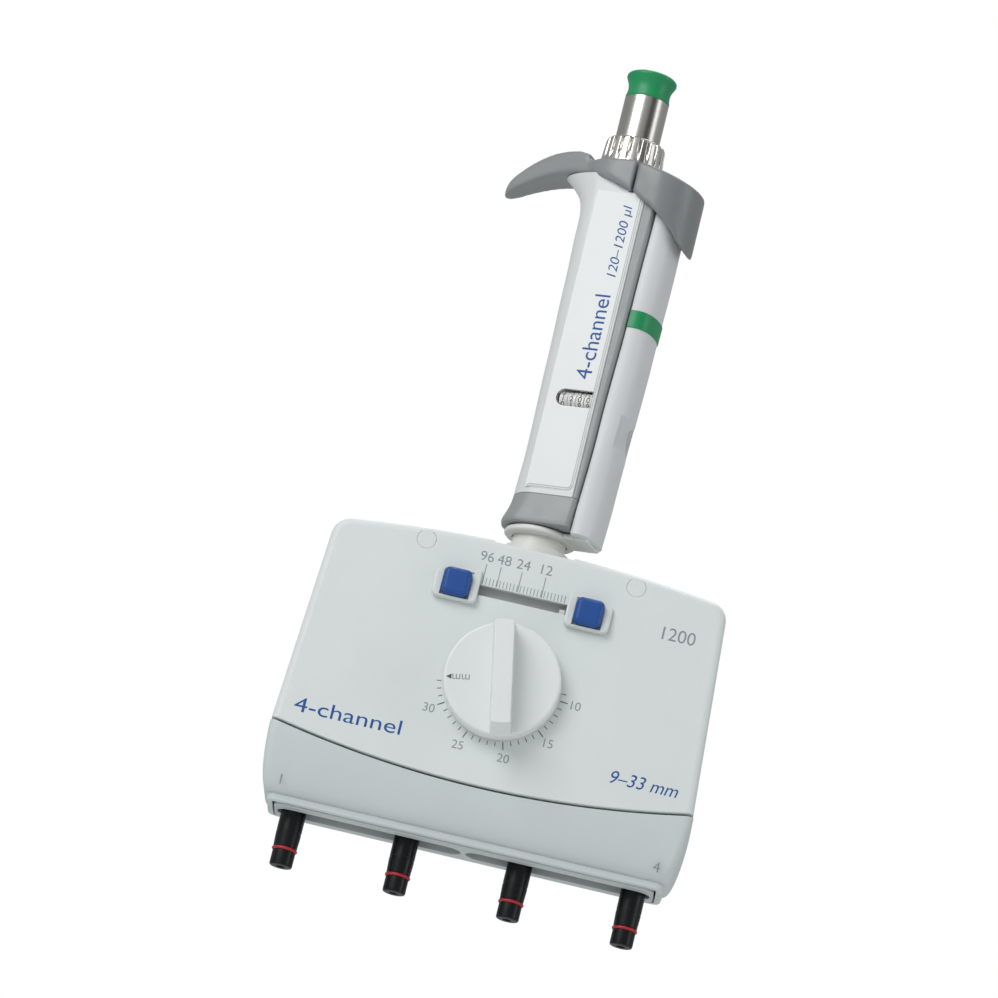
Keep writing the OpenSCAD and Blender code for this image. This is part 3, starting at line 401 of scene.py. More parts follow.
for side, word, nodes in ((-1, "left", ("cover_plugs",)), (1, "right", ())):
    plug = peg("plug_" + word, side * plug_x, plug_z, 2.72, front_y + 0.02, front_y + 0.8, 40)
    soften_edges(plug, 0.07, 60, 2)
    fix(plug, pale_plastic, "housing", "cover_pale", *nodes)

# ---- nose ----
# Moulding below the split line, painted slightly darker as shade for its downward tilt, bulging above
# a crease and a straight lip, with small vertical corner radii; the ejector plate sits in its open underside.
# nose colour: the pale cover plastic darkened as painted shade, standing in for the nose facing down away
# from the lamps
nose_grey_painted_shade = finish("nose plastic", "c6cfce", 0.44, mottle=0.012, smear=0.05, relief=0.004)
lip_h, nose_corner = 2.1, 2.6


def plan(a, b, r, steps=5):
    """rounded rectangle seen from above, half as large as a by b"""
    ring = []
    for sx, sy, start in ((1, -1, -90), (1, 1, 0), (-1, 1, 90), (-1, -1, 180)):
        ring += arc_points(sx * (a - r), sy * (b - r), r, start, start + 90, steps)
    return ring


def nose_rings(d):
    up = split_end_z + 1 - nose_low_z - lip_h
    levels = [(half_width - 4.1 - d, 10.0 - d, nose_low_z),
        (half_width - 3.8 - d, 10.3 - d, nose_low_z + 0.3),
        (half_width - 3.5 - d, 10.45 - d, nose_low_z + lip_h - 0.25),
        (half_width - 3.75 - d, 10.2 - d, nose_low_z + lip_h),
        (half_width - 3.4 - d, 10.55 - d, nose_low_z + lip_h + 0.3)]
    for i in range(1, 15):
        s, c = math.sin(math.pi / 2 * i / 14), 1 - math.cos(math.pi / 2 * i / 14)
        levels.append((half_width - 3.4 + 3.65 * s - d, 10.5 + (back_y - 0.3 - 10.5) * s - d,
                       nose_low_z + lip_h + 0.3 + (up - 0.3) * c))
    return levels


def nose_block(name, d, below=0):
    levels = nose_rings(d)
    if below:
        levels = [(levels[1][0], levels[1][1], nose_low_z - below)] + levels[4:]
    return solid(name, *stacked([[(p.x, p.y, z) for p in plan(a, b, nose_corner - min(d, 1.5))]
        for a, b, z in levels]))


nose_top = [Vector((half_width + 6, split_end_z + 12)), Vector((-half_width - 6, split_end_z + 12))]
nose_top += [Vector((x, split_at(min(half_width, abs(x))) - 0.55)) for x in
             [-half_width - 6 + i * (half_width + 6) / 24 for i in range(49)]]
nose = nose_block("nose_shell", 0)
carve(nose, nose_block("nose_room", 1.8, 1),
      solid("above", *stacked([[(p.x, y, p.y) for p in nose_top] for y in (-40, 40)])))
soften_edges(nose, 0.3, 60, 2)
fix(nose, nose_grey_painted_shade, "housing", "nose_pale", "nose_cover")

# ---- ejector plate ----
# Pale plate in the nose's underside with two long round-ended slots for the cones and
# two arms up to the cross bar, moulded in one piece.
plate_low, plate_high = span("ejector_plate")
plate_grey = finish("plate plastic", "bcc4c3", 0.5, mottle=0.02)
plate_t, plate_half, rib_half, slot_r = 2.0, plate_high.x, 0.75, 4.1
outer_plan, inner_plan = plan(plate_half, plate_high.y, 3.2), plan(plate_half - 0.35, plate_high.y - 0.35,
    2.9)
plate = solid("slotted_plate", *stacked([[(p.x, p.y, z) for p in ring] for ring, z in (
    (inner_plan, plate_low.z), (outer_plan, plate_low.z + 0.35), (outer_plan, plate_low.z + plate_t - 0.2),
    (inner_plan, plate_low.z + plate_t))]))
slots = []
for side in (-1, 1):
    x0, x1 = sorted((side * (rib_half + slot_r), side * (plate_half - 1 - slot_r)))
    stadium = arc_points(x1, 0, slot_r, -90, 90, 16) + arc_points(x0, 0, slot_r, 90, 270, 16)
    slots.append(solid("slot", *stacked([[(p.x, p.y, z) for p in stadium]
                                         for z in (plate_low.z - 1, plate_low.z + plate_t + 1)])))
carve(plate, *slots)
soften_edges(plate, 0.25, 50, 2)
fix(plate, plate_grey, "lower_ejector", "plate_grey", "ejector_plate")
arm_x = half_width - 17.2 - 2
for side, word in ((-1, "left"), (1, "right")):
    arm = bar("plate_arm_" + word, (side * arm_x - 2, plate_high.y - 1.3, plate_low.z + 1),
        (side * arm_x + 2, plate_high.y, plate_high.z))
    soften_edges(arm, 0.3, 60, 2)
    fix(arm, plate_grey, "lower_ejector", "plate_grey")

# ---- spacing dial ----
# White knob turned and milled in one piece: a thin disc and a tall grip bar across it
# whose sides lean in; it sits on the shaft's end in front of the cover.
dial_white = finish("dial plastic", "dfe3e2", 0.42, mottle=0.01, smear=0.05, relief=0.004)
dial_r, dial_t, grip_turn = 16.9, 5.0, math.radians(10.9)
dial_back, dial_front = dial_high.y, dial_low.y
disc = [(along, dial_r - inward - 0.3 * along / dial_t) for along, inward in
        [(0, 0.5), (0.15, 0.15), (0.5, 0)] + [(dial_t - 0.8 + a, i) for a, i in rim(0.8, 6)]]
disc_rings = [[(p.x, dial_back - along, p.y) for p in arc_points(dial_x, dial_z, r, 0, 357, 119)]
    for along, r in disc]


def grip_ring(half, reach, along):
    """four-sided outline with round ends, turned to the grip's place on the disc"""
    tip = math.degrees(math.asin(half / reach))
    ends = arc_points(0, 0, reach, 90 - tip, 90 + tip, 8) + arc_points(0, 0, reach, 270 - tip, 270 + tip, 8)
    c, s = math.cos(grip_turn), math.sin(grip_turn)
    return [(dial_x + p.x * c - p.y * s, dial_back - along, dial_z + p.x * s + p.y * c) for p in ends]


grip_top = dial_back - dial_front
knob = solid("dial_disc", *stacked(disc_rings))
grip = solid("dial_grip", *stacked([grip_ring(3.3, 16.55, dial_t - 0.6), grip_ring(3.25, 16.5, dial_t),
                                    grip_ring(2.95, 15.9, dial_t + 0.6), grip_ring(2.75, 15.1, grip_top)]))
soften_edges(grip, 0.55, 35, 4)
fix(knob, dial_white, "dial", "dial_white", "dial_knob", sharp=40)
fix(grip, dial_white, "dial", "dial_white")

# ---- limit stops and their buttons ----
# Two pale tabs that slide in the slot, thin at the top and thick at the foot, each with
# a square blue press button whose edge is bevelled.
stop_pale = finish("stop plastic", "d3d9d8", 0.45, mottle=0.012, relief=0.004)
button_blue = finish("blue plastic", "0a4791", 0.4, mottle=0.04, smear=0.05)
tab_half, tab_top, tab_foot = 6.5, 5.6, -4.9
for side, word in ((-1, "left"), (1, "right")):
    low, high = span(word + "_stop_button")
    x = (low.x + high.x) / 2
    inner, outer = -side * tab_half, side * tab_half
    corner = [(inner, tab_foot, 1.6), (outer, tab_foot, 2.0), (outer, tab_top - 1.9, 1.8),
        (inner, tab_top, 0.7)]
    if side < 0:
        corner = corner[::-1]
    loop = []
    n = len(corner)
    for i, (cx, cz, r) in enumerate(corner):
        p = Vector((cx, cz))
        to_last = (Vector(corner[i - 1][:2]) - p).normalized()
        to_next = (Vector(corner[(i + 1) % n][:2]) - p).normalized()
        cut = r / math.tan(to_last.angle(to_next) / 2)
        start, end = p + to_last * cut, p + to_next * cut
        for k in range(7):
            t = k / 6
            loop.append((start * (1 - t) + p * t) * (1 - t) + (p * (1 - t) + end * t) * t)
    if sum(a.x * b.y - b.x * a.y for a, b in zip(loop, loop[1:] + loop[:1])) < 0:
        loop.reverse()
    tab_back, tab_face = front_y - 0.15, front_y - 0.15 - 2.0
    depths = [(tab_back, 0.0)] + [(tab_face + 0.7 - along, inward) for along, inward in rim(0.7, 5)]

    def slope(y, zz):
        share = (tab_top - zz) / (tab_top - tab_foot)
        return tab_back + (y - tab_back) * (0.3 + 0.7 * min(1, share * 1.25))

    tab = solid("stop_tab_" + word, *stacked([[(x + p.x, slope(y, p.y), slot_z + p.y)
        for p in drawn_in(loop, inward)] for y, inward in depths]))
    carve(tab, bar("seat", (x - 4.25, tab_face - 1, slot_z - 4.25),
        (x + 4.25, tab_back - 0.35, slot_z + 4.25)))
    neck = bar("stop_neck_" + word, (x - 4.5, tab_back - 0.1, slot_z + 0.1),
        (x + 4.5, front_y + 2.15, slot_z + slot_half_h - 0.1))
    keeper = bar("stop_keeper_" + word, (x - 4.5, front_y + 2.15, slot_z + 0.1),
        (x + 4.5, front_y + 3.15, slot_z + 3.4))
    fix(tab, stop_pale, word + "_stop", "stop_pale", word + "_stop", sharp=40)
    for o in (neck, keeper):
        carve(o, peg("stem_way", x, slot_z + 0.775, 0.65, tab_back - 1, front_y + 4, 20))
        soften_edges(o, 0.15, 60, 2)
        fix(o, stop_pale, word + "_stop", "stop_pale")
    square = plan(4.05, 4.05, 1.7, 6)
    key_face, key_back = low.y, low.y + 2.4
    key_rings = [(key_back, 0.0), (key_face + 1.15, 0.0), (key_face + 0.95, 0.06), (key_face + 0.35, 0.62),
                 (key_face + 0.12, 0.95), (key_face, 1.35)]
    key = solid("stop_key_" + word, *stacked([[(x + p.x, y, slot_z + p.y) for p in drawn_in(square, inward)]
                                              for y, inward in key_rings]))
    stem = peg("stop_key_stem_" + word, x, slot_z + 0.775, 0.55, key_back - 0.1, high.y, 20)
    fix(key, button_blue, word + "_button", "button_blue", word + "_stop_button", sharp=50)
    fix(stem, button_blue, word + "_button", "button_blue")

# ---- printed scales and lettering ----
# Tampo-printed grey scales and numbers on the cover and the dial, and blue lettering;
# every mark is a film a few hundredths of a millimetre thick.
print_grey = finish("grey ink", "8b9192", 0.5, mottle=0.08)
print_dark = finish("dark ink", "4c5253", 0.5, mottle=0.08)
print_blue = finish("blue ink", "0a4e96", 0.6, mottle=0.05)
film = 0.04


def copies_tree():
    """node tree: the object's own mesh, repeated with a fixed shift and turn from one to the next"""
    tree = bpy.data.node_groups.new("repeated marks", "GeometryNodeTree")
    face = tree.interface
    face.new_socket("Geometry", in_out="INPUT", socket_type="NodeSocketGeometry")
    for label, kind in (("Count", "NodeSocketInt"), ("Shift", "NodeSocketVector"),
            ("First turn", "NodeSocketVector"), ("Turn", "NodeSocketVector"), ("Weld", "NodeSocketFloat"),
            ("Finish", "NodeSocketMaterial")):
        face.new_socket(label, in_out="INPUT", socket_type=kind)
    face.new_socket("Geometry", in_out="OUTPUT", socket_type="NodeSocketGeometry")
    nodes, links = tree.nodes, tree.links
    entry, leave = nodes.new("NodeGroupInput"), nodes.new("NodeGroupOutput")
    points, index = nodes.new("GeometryNodePoints"), nodes.new("GeometryNodeInputIndex")
    links.new(entry.outputs["Count"], points.inputs["Count"])

    def times_index(socket):
        scale = nodes.new("ShaderNodeVectorMath")
        scale.operation = "SCALE"
        links.new(entry.outputs[socket], scale.inputs[0])
        links.new(index.outputs[0], scale.inputs["Scale"])
        return scale.outputs[0]

    add = nodes.new("ShaderNodeVectorMath")
    links.new(entry.outputs["First turn"], add.inputs[0])
    links.new(times_index("Turn"), add.inputs[1])
    turned = nodes.new("FunctionNodeEulerToRotation")
    links.new(add.outputs[0], turned.inputs[0])
    links.new(times_index("Shift"), points.inputs["Position"])
    place = nodes.new("GeometryNodeInstanceOnPoints")
    links.new(points.outputs[0], place.inputs["Points"])
    links.new(entry.outputs["Geometry"], place.inputs["Instance"])
    links.new(turned.outputs[0], place.inputs["Rotation"])
    real, weld, paint = (nodes.new("GeometryNodeRealizeInstances"), nodes.new("GeometryNodeMergeByDistance"),
                         nodes.new("GeometryNodeSetMaterial"))
    links.new(place.outputs[0], real.inputs[0])
    links.new(real.outputs[0], weld.inputs[0])
    links.new(entry.outputs["Weld"], weld.inputs["Distance"])
    links.new(weld.outputs[0], paint.inputs[0])
    links.new(entry.outputs["Finish"], paint.inputs["Material"])
    links.new(paint.outputs[0], leave.inputs[0])
    return tree


copies = copies_tree()


def repeat(o, count, look, shift=(0, 0, 0), first=(0, 0, 0), turn=(0, 0, 0), weld=1e-6, place=(0, 0, 0)):
    """repeats o's mesh by the node tree, then moves the result to its place, in millimetres"""
    m = o.modifiers.new("repeat", "NODES")
    m.node_group = copies
    names = {i.name: i.identifier for i in copies.interface.items_tree if i.in_out == "INPUT"}
    m[names["Count"]] = count
    m[names["Shift"]] = [v / 1000 for v in shift]
    m[names["First turn"]] = list(first)
    m[names["Turn"]] = list(turn)
    m[names["Weld"]] = weld
    m[names["Finish"]] = look
    o.update_tag()
    plain(o)
    o.data.transform(Matrix.Translation(Vector(place) / 1000))
    return o


def stroke(name, long, wide, out):
    """one printed line, standing up from z = out, on the plane y = 0"""
    return bar(name, (-wide / 2, -film, out), (wide / 2, 0.02, out + long))


mark_y = front_y
scale_zero_x = -12.3
short = repeat(stroke("slot_scale", 2.1, 0.2, 0), 25, print_grey, shift=(1, 0, 0),
               place=(scale_zero_x, mark_y, slot_z + slot_half_h + 0.25))
fix(short, print_grey, "housing", "cover_pale")
long_x = {"96": -12.3, "48": -8.1, "24": -1.95, "12": 5.0}
dial_scale_top = math.radians(79.1)
per_mm = math.radians(7.162)
dial_scale = repeat(stroke("dial_scale", 1.25, 0.22, 17.25), 25, print_dark,
    first=(0, dial_scale_top + math.pi, 0), turn=(0, -per_mm, 0), place=(dial_x, mark_y, dial_z))
fix(dial_scale, print_dark, "housing", "cover_pale")
fives = repeat(stroke("dial_scale_fives", 2.2, 0.24, 17.25), 5, print_dark,
               first=(0, dial_scale_top + math.pi - 3 * per_mm, 0), turn=(0, -5 * per_mm, 0),
               place=(dial_x, mark_y, dial_z))
fix(fives, print_dark, "housing", "cover_pale")


def letters(name, text, cap, at, look, body, slot, across=(1, 0, 0), upward=(0, 0, 1), slant=0.0,
            wide=None):
    """printed words: cap is the capitals' height, wide the whole width, in millimetres, at their middle"""
    curve = bpy.data.curves.new(name, "FONT")
    curve.body, curve.align_x, curve.align_y = text, "CENTER", "CENTER"
    curve.size, curve.shear, curve.extrude, curve.resolution_u = 1.0, slant, film / 2, 6
    made = added(name + "_curve", curve)
    bpy.context.view_layer.update()
    view = bpy.context.evaluated_depsgraph_get()
    mesh = bpy.data.meshes.new_from_object(made.evaluated_get(view), depsgraph=view)
    bpy.data.objects.remove(made)
    xs = [v.co.x for v in mesh.vertices]
    ys = [v.co.y for v in mesh.vertices]
    centre = Vector(((min(xs) + max(xs)) / 2, (min(ys) + max(ys)) / 2, 0))
    size = cap / 0.72
    squeeze = 1.0 if wide is None else wide / (size * (max(xs) - min(xs)))
    a, u = Vector(across).normalized(), Vector(upward).normalized()
    out = a.cross(u)
    turn = Matrix((a, u, out)).transposed().to_4x4()
    scale = Matrix.Diagonal((size * squeeze / 1000, size / 1000, 0.001, 1))
    mesh.transform(Matrix.Translation(Vector(at) / 1000) @ turn @ scale @ Matrix.Translation(-centre))
    return fix(added(name, mesh), look, body, slot)


for text, x in long_x.items():
    tall = bar("slot_mark_" + text, (x - 0.12, mark_y - film, slot_z + slot_half_h + 0.3),
               (x + 0.12, mark_y + 0.02, slot_z + slot_half_h + 6.3))
    fix(tall, print_grey, "housing", "cover_pale")
for text, x in (("96", -12.6), ("48", -7.6), ("24", -2.0), ("12", 4.8)):
    letters("slot_number_" + text, text, 3.0, (x, mark_y, slot_z + 10.1), print_grey, "housing", "cover_pale")
for value in (10, 15, 20, 25, 30):
    angle = dial_scale_top - (33 - value) * per_mm
    letters(f"dial_number_{value}", str(value), 2.6,
        (dial_x - 21.9 * math.sin(angle), mark_y, dial_z - 21.9 * math.cos(angle)), print_grey, "housing",
        "cover_pale")
letters("volume_number", "1200", 3.9, (45.7, mark_y, slot_z - 0.1), print_grey, "housing", "cover_pale")
letters("words_left", "4-channel", 4.4, (-40.2, mark_y, -172.6), print_blue, "housing", "cover_pale",
        wide=31)
letters("words_right", "9–33 mm", 3.9, (45.8, mark_y, -172.4), print_blue, "housing", "cover_pale",
        slant=0.22, wide=19.5)
inwards = Vector((math.sin(dial_scale_top), 0, math.cos(dial_scale_top)))
face_y = dial_back - dial_t
letters("dial_unit", "mm", 2.5, tuple(Vector((dial_x, face_y, dial_z)) - inwards * 11.7), print_grey, "dial",
        "dial_white", across=-inwards, upward=Vector((0, 1, 0)).cross(inwards))
tip = Vector((dial_x, face_y, dial_z)) - inwards * 15.9
sideways = inwards.cross(Vector((0, 1, 0)))
arrow = solid("dial_arrow", *stacked([[tuple(tip + Vector((0, y, 0)) + inwards * a + sideways * b)
    for a, b in ((0, 0), (1.5, 0.75), (1.5, -0.75))] for y in (-film, 0.02)]))
fix(arrow, print_dark, "dial", "dial_white")
for word, text, x in (("left", "1", -54.3), ("right", "4", 54.4)):
    letters("channel_number_" + word, text, 3.0, (x, -14.55, -194.4), print_grey, "housing", "nose_pale",
            upward=(0, -0.35, 0.94))

# ---- handle shell and label ----
# White shell, round on the thumb side and flat in front, waisted above the grey band and
# flared under the hook; a clear label with a double rule is stuck on its flat face.
handle_turn = Matrix.Rotation(math.radians(-20), 4, "Z")
handle_white = finish("handle plastic", "d3d6d6", 0.4, mottle=0.012, smear=0.06, relief=0.004)
label_white = finish("label film", "d0d3d3", 0.32, mottle=0.004, smear=0.02, relief=0.002, Coat_Weight=0.3)
rule_grey = finish("label rule", "a9aeae", 0.4)
frame_low, frame_high = span("handle_frame")
shell_low = span("handle_shell")[0]
band_low_z, band_top_z, shell_top_z = frame_low.z, shell_low.z, frame_high.z
flat_y, strip_x, wall = 10.0, 10.8, 1.6
window_z = (span("window_lens")[0].z + span("window_lens")[1].z) / 2


def blended(value, stops):
    """value of a smooth curve through (place, size) stops"""
    if value <= stops[0][0]:
        return stops[0][1]
    for (a, u), (b, v) in zip(stops, stops[1:]):
        if value <= b:
            t = (value - a) / (b - a)
            return u + (v - u) * t * t * (3 - 2 * t)
    return stops[-1][1]


def strip_right(z):
    return blended(z, [(-106.3, 11.7), (-73, 12.8), (-32, 13.8), (0, 14.3)])


def grip_radius(z):
    return blended(z, [(-94.1, 10.4), (-80, 10.0), (-52, 10.4), (-28, 10.8), (-11, 11.2)])


def section(r, flat, right, corner, flare=0.0):
    """outline of the handle: a circle of radius r kept within the flats, run out square to the right"""
    ring = [(right - corner - (right - corner) * i / 10, -flat) for i in range(10)]
    for i in range(65):
        a = math.radians(-90 - 180 * i / 64)
        x, y = r * math.cos(a), r * math.sin(a)
        kept = -math.log(math.exp(-5 * abs(y)) + math.exp(-5 * flat)) / 5
        out = 1 + flare / r * max(0, -math.cos(a)) ** 2.5
        ring.append((x * out, math.copysign(kept, y) * (1 + (out - 1) * 0.6)))
    ring += [((right - corner) * i / 10, flat) for i in range(1, 11)]
    ring += [tuple(p) for p in arc_points(right - corner, flat - corner, corner, 80, 0, 4)]
    ring += [tuple(p) for p in arc_points(right - corner, -flat + corner, corner, 0, -80, 4)]
    return ring


def handle_loft(name, levels):
    return solid(name, *stacked([[(x, y, z) for x, y in section(*shape)] for z, shape in levels]))


def at_handle(o):
    o.data.transform(handle_turn)
    return o


levels = [band_top_z + 0.02 + (-9 - band_top_z) * i / 46 for i in range(47)]
outer = [(z, (grip_radius(z), flat_y, strip_x, 0.25)) for z in levels]
outer += [(z, (11.2, flat_y, strip_x, 0.25, flare)) for z, flare in
          ((-6, 0.1), (-4, 0.4), (-2, 0.9), (0, 1.8), (1.5, 2.9), (3, 4.3), (4.4, 5.8), (5.6, 7.2))]
shell = handle_loft("handle_shell_smooth", outer)
room = handle_loft("room", [(z, (grip_radius(z) - wall, flat_y - wall, strip_x - 0.3, 0.2)) for z in
                            [band_top_z - 1 + (shell_top_z + 4 - band_top_z) * i / 30 for i in range(31)]])
window_left, window_right = 1.05, 9.6


def window_outline(grow):
    r = 2.5 + grow
    ring = [(window_right + grow, -r), (window_right + grow, r)]
    return ring + [tuple(p) for p in arc_points(window_left, 0, r, 90, 270, 20)]


def window_block(name, grow, y0, y1):
    return solid(name, *stacked([[(x, y, window_z + z) for x, z in window_outline(grow)] for y in (y0, y1)]))


carve(shell, room, window_block("window_cut", 0.25, -12, -7), bar("lever_way", (5.2, -20, 0.6), (20, 20, 20)))
soften_edges(shell, 0.16, 50, 2)
fix(at_handle(shell), handle_white, "handle", "handle_white", "handle_shell")


def label_outline(d):
    """label from under the ejector button down to a round corner beside the strip"""
    left, right, low, high = -4.4 + d, strip_x - 0.35 - d, band_top_z + 1.6 + d, 0.4 - d
    r = 2.2 - d
    ring = [Vector((right, high)), Vector((left, high)), Vector((left, low))]
    return ring + arc_points(right - r, low + r, r, -90, 0, 10)


label = solid("label_film_sheet", *stacked([[(p.x, y, p.y) for p in label_outline(d)]
    for y, d in ((-flat_y + 0.05, 0.0), (-flat_y - 0.05, 0.0), (-flat_y - 0.09, 0.05))]))
carve(label, window_block("window_cut", 0.12, -12, -7))
fix(at_handle(label), label_white, "handle", "label_film", "label_panel")
for number, (near, far) in enumerate(((0.28, 0.46), (0.85, 1.01))):
    wide, slim = label_outline(near)[2:], label_outline(far)[2:]
    tall = [Vector((strip_x - 0.35 - near, 0.3)), Vector((strip_x - 0.35 - far, 0.3))]
    loop = wide + [tall[0], tall[1]] + slim[::-1]
    rule = solid(f"label_rule_{number + 1}", *stacked([[(p.x, y, p.y) for p in loop]
        for y in (-flat_y - 0.06, -flat_y - 0.19)]))
    fix(at_handle(rule), rule_grey, "handle", "label_film")
up_axis, left_axis = (0, 0, 1), tuple(handle_turn @ Vector((-1, 0, 0)))


def on_label(x, z):
    return tuple(handle_turn @ Vector((x, -flat_y - 0.1, z)))


letters("label_words_bold", "4-channel", 5.0, on_label(5.2, -45.1), print_blue, "handle", "label_film",
        across=up_axis, upward=left_axis, wide=26.3)
letters("label_words_slanted", "120–1200 µl", 3.0, on_label(6.5, -14.9), print_blue, "handle",
        "label_film", across=up_axis, upward=left_axis, slant=0.2, wide=22.5)

# ---- volume counter ----
# Four white number drums on a steel axle behind a moulded clear window.
lens_clear = finish("clear plastic", "ffffff", 0.03, mottle=0.0, smear=0.01, relief=0.0002,
    Transmission_Weight=1.0, IOR=1.1)
drum_white = finish("drum plastic", "e9e9e4", 0.5, mottle=0.02)
pane = window_block("window_pane", 0.05, -flat_y - 0.02, -flat_y + 0.55)
soften_edges(pane, 0.12, 50, 2)
fix(at_handle(pane), lens_clear, "handle", "clear_lens", "window_lens")
axle_low, axle_high = span("counter_axle")
axle_middle = handle_turn.inverted() @ ((axle_low + axle_high) / 2)
drum_r, drum_w, drum_step = 3.0, 2.5, 2.6
for place in range(4):
    centre = Vector((axle_middle.x + (place - 1.5) * drum_step, axle_middle.y, window_z))
    edge = [(-drum_w / 2, drum_r - 0.15), (-drum_w / 2 + 0.15, drum_r), (drum_w / 2 - 0.15, drum_r),
        (drum_w / 2, drum_r - 0.15)]
    drum = solid(f"number_drum_{place + 1}", *stacked([[(centre.x + x, centre.y + p.x, centre.z + p.y)
        for p in arc_points(0, 0, r, 0, 355, 71)] for x, r in edge]))
    body = f"counter_{place + 1}"
    fix(at_handle(drum), drum_white, body, "drum_white", f"counter_drum_{place + 1}")
    shown = (1, 2, 0, 0)[place]
    for digit in range(10):
        turn = math.radians((digit - shown) * 36)
        out = Vector((0, -math.cos(turn), math.sin(turn)))
        up = Vector((0, math.sin(turn), math.cos(turn)))
        spot = handle_turn @ (centre + out * (drum_r - 0.02))
        letters(f"drum_{place + 1}_digit_{digit}", str(digit), 1.75, tuple(spot), print_dark, body,
            "drum_white", across=tuple(handle_turn.to_3x3() @ Vector((1, 0, 0))),
            upward=tuple(handle_turn.to_3x3() @ up))

# ---- grey back frame ----
# One grey moulding: the flared band at the handle's foot and the strip beside the label,
# with two screws in its back.
frame_grey = finish("frame plastic", "8f9393", 0.42, mottle=0.02, smear=0.06, relief=0.006)
steel = finish("machined steel", "c9c9c6", 0.26, metal=1.0, smear=0.06, mottle=0.03, stretch=(1, 1, 0.05),
    relief=0.002)
foot_rise = 2.9
band = []
for z, r, flat, inward in ((0, 11.6, 10.6, 0.55), (0.15, 11.75, 10.75, 0.2), (0.5, 11.9, 10.9, 0),
        (1.4, 12.15, 11.0, 0), (2.4, 12.15, 10.95, 0), (4.5, 11.6, 10.6, 0), (7, 11.0, 10.3, 0),
        (9.5, 10.6, 10.1, 0), (11.6, 10.42, 10.02, 0), (12.1, 10.35, 9.95, 0.05)):
    band.append((band_low_z + foot_rise + z * 0.76,
        (r - inward, flat - inward, strip_right(band_low_z + z) - inward, 1.1)))
foot = handle_loft("handle_foot_band", band)
carve(foot, column("neck_way", 0, 0, 9.2, band_low_z - 1, band_low_z + 20))
at_handle(foot)
fix(foot, frame_grey, "handle", "handle_grey", "handle_frame")


def strip_ring(z, inward=0.0):
    right, left = strip_right(z) - inward, strip_x + 0.12 + inward
    flat = flat_y - inward
    ring = []
    for x, y, r, start in ((right, -flat, 0.9, -90), (right, flat, 0.9, 0), (left, flat, 0.12, 90),
            (left, -flat, 0.12, 180)):
        sx, sy = (1 if x == right else -1), (1 if y > 0 else -1)
        r = min(r, (right - left) / 2.2)
        ring += [(p.x, p.y, z) for p in arc_points(x - sx * r, y - sy * r, r, start, start + 90, 5)]
    return ring


strip_levels = [band_top_z - 0.1 + (-1 - band_top_z) * i / 24 for i in range(25)]
strip = solid("side_strip", *stacked([strip_ring(strip_levels[0], 0.1)]
    + [strip_ring(z) for z in strip_levels]))
fix(at_handle(strip), frame_grey, "handle", "handle_grey")
for number, z in enumerate((band_top_z + 8, shell_top_z - 26)):
    head = [(r, y) for r, y in ((0.5, 0.35), (0.95, 0.35), (1.55, 0.28), (1.75, 0.1), (1.75, -1.6))]
    ring = [[(strip_right(z) - 0.3 + y, p.x, z + p.y) for p in arc_points(0, 0, r, 0, 345, 23)]
        for r, y in head]
    screw = solid(f"back_screw_{number + 1}", *stacked(ring))
    fix(at_handle(screw), steel, "handle", "fastener_steel")
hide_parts("handle_screws")

# ---- ejector sleeve and coloured clip ----
# White sleeve that slides on the handle's back, round at its outer corners, with a green
# clip snapped round it and a thumb notch half way down its outer face.
sleeve_white = finish("sleeve plastic", "d0d3d4", 0.42, mottle=0.012, relief=0.004)
band_green = finish("green plastic", "058a52", 0.44, mottle=0.04, smear=0.05, Coat_Weight=0.05)
sleeve_low, sleeve_high = span("ejector_sleeve")
clip_low, clip_high = span("ejector_band")
sleeve_half = 8.3


def sleeve_reach(z):
    return blended(z, [(-108, 18.1), (-90, 18.7), (-46, 19.9), (-20, 20.4), (-2, 20.3)])


def sleeve_ring(z, grow=0.0):
    """flat against the strip, bulging behind it like a D"""
    left, right, half = strip_right(z) + 0.35, sleeve_reach(z) + grow, sleeve_half + grow
    ring = []
    for i in range(41):
        a = math.pi * (i / 40 - 0.5)
        ring.append((left + (right - left) * math.cos(a) ** 0.75,
            half * math.copysign(abs(math.sin(a)) ** 0.85, a), z))
    return ring


def notch_depth(z):
    """depth of the thumb notch in the sleeve's outer face"""
    return blended(z, [(-76.5, 0), (-74.6, 0.9), (-70.5, 1.5), (-67.5, 1.6), (-66.4, 0)])


sleeve_top, sleeve_foot = sleeve_high.z, sleeve_low.z + foot_rise
rings = []
for i in range(112):
    z = sleeve_foot + 0.7 + (sleeve_top - sleeve_foot - 0.7) * i / 111
    ring = sleeve_ring(z)
    rings.append([(x - notch_depth(zz) * (1 if x > sleeve_reach(zz) - 1.2 else 0), y, zz)
        for x, y, zz in ring])
foot_rings = []
for z, g in ((sleeve_foot, -1.6), (sleeve_foot + 0.15, -0.9), (sleeve_foot + 0.4, -0.35)):
    foot_rings.append(sleeve_ring(z, g))
sleeve = solid("ejector_sleeve_shell", *stacked(foot_rings + rings))
slit = [(15.4 + 1.4 * math.cos(a), 6.0 * math.sin(a))
        for a in [math.radians(-80 + 160 * i / 16) for i in range(17)]]
slit += [(x - 0.55, y * 0.95) for x, y in reversed(slit)]
carve(sleeve, solid("slit", *stacked([[(x, y, z) for x, y in slit]
    for z in (sleeve_foot - 1, sleeve_foot + 2.5)])))
fix(at_handle(sleeve), sleeve_white, "ejector", "sleeve_white", "ejector_sleeve", sharp=40)
clip_rings = []
for z, g in ((clip_low.z, 0.08), (clip_low.z + 0.12, 0.26), (clip_high.z - 0.12, 0.26), (clip_high.z, 0.08)):
    clip_rings.append(sleeve_ring(z, g))
clip = solid("ejector_clip", *stacked(clip_rings))
fix(at_handle(clip), band_green, "ejector", "band_green", "ejector_band", sharp=40)

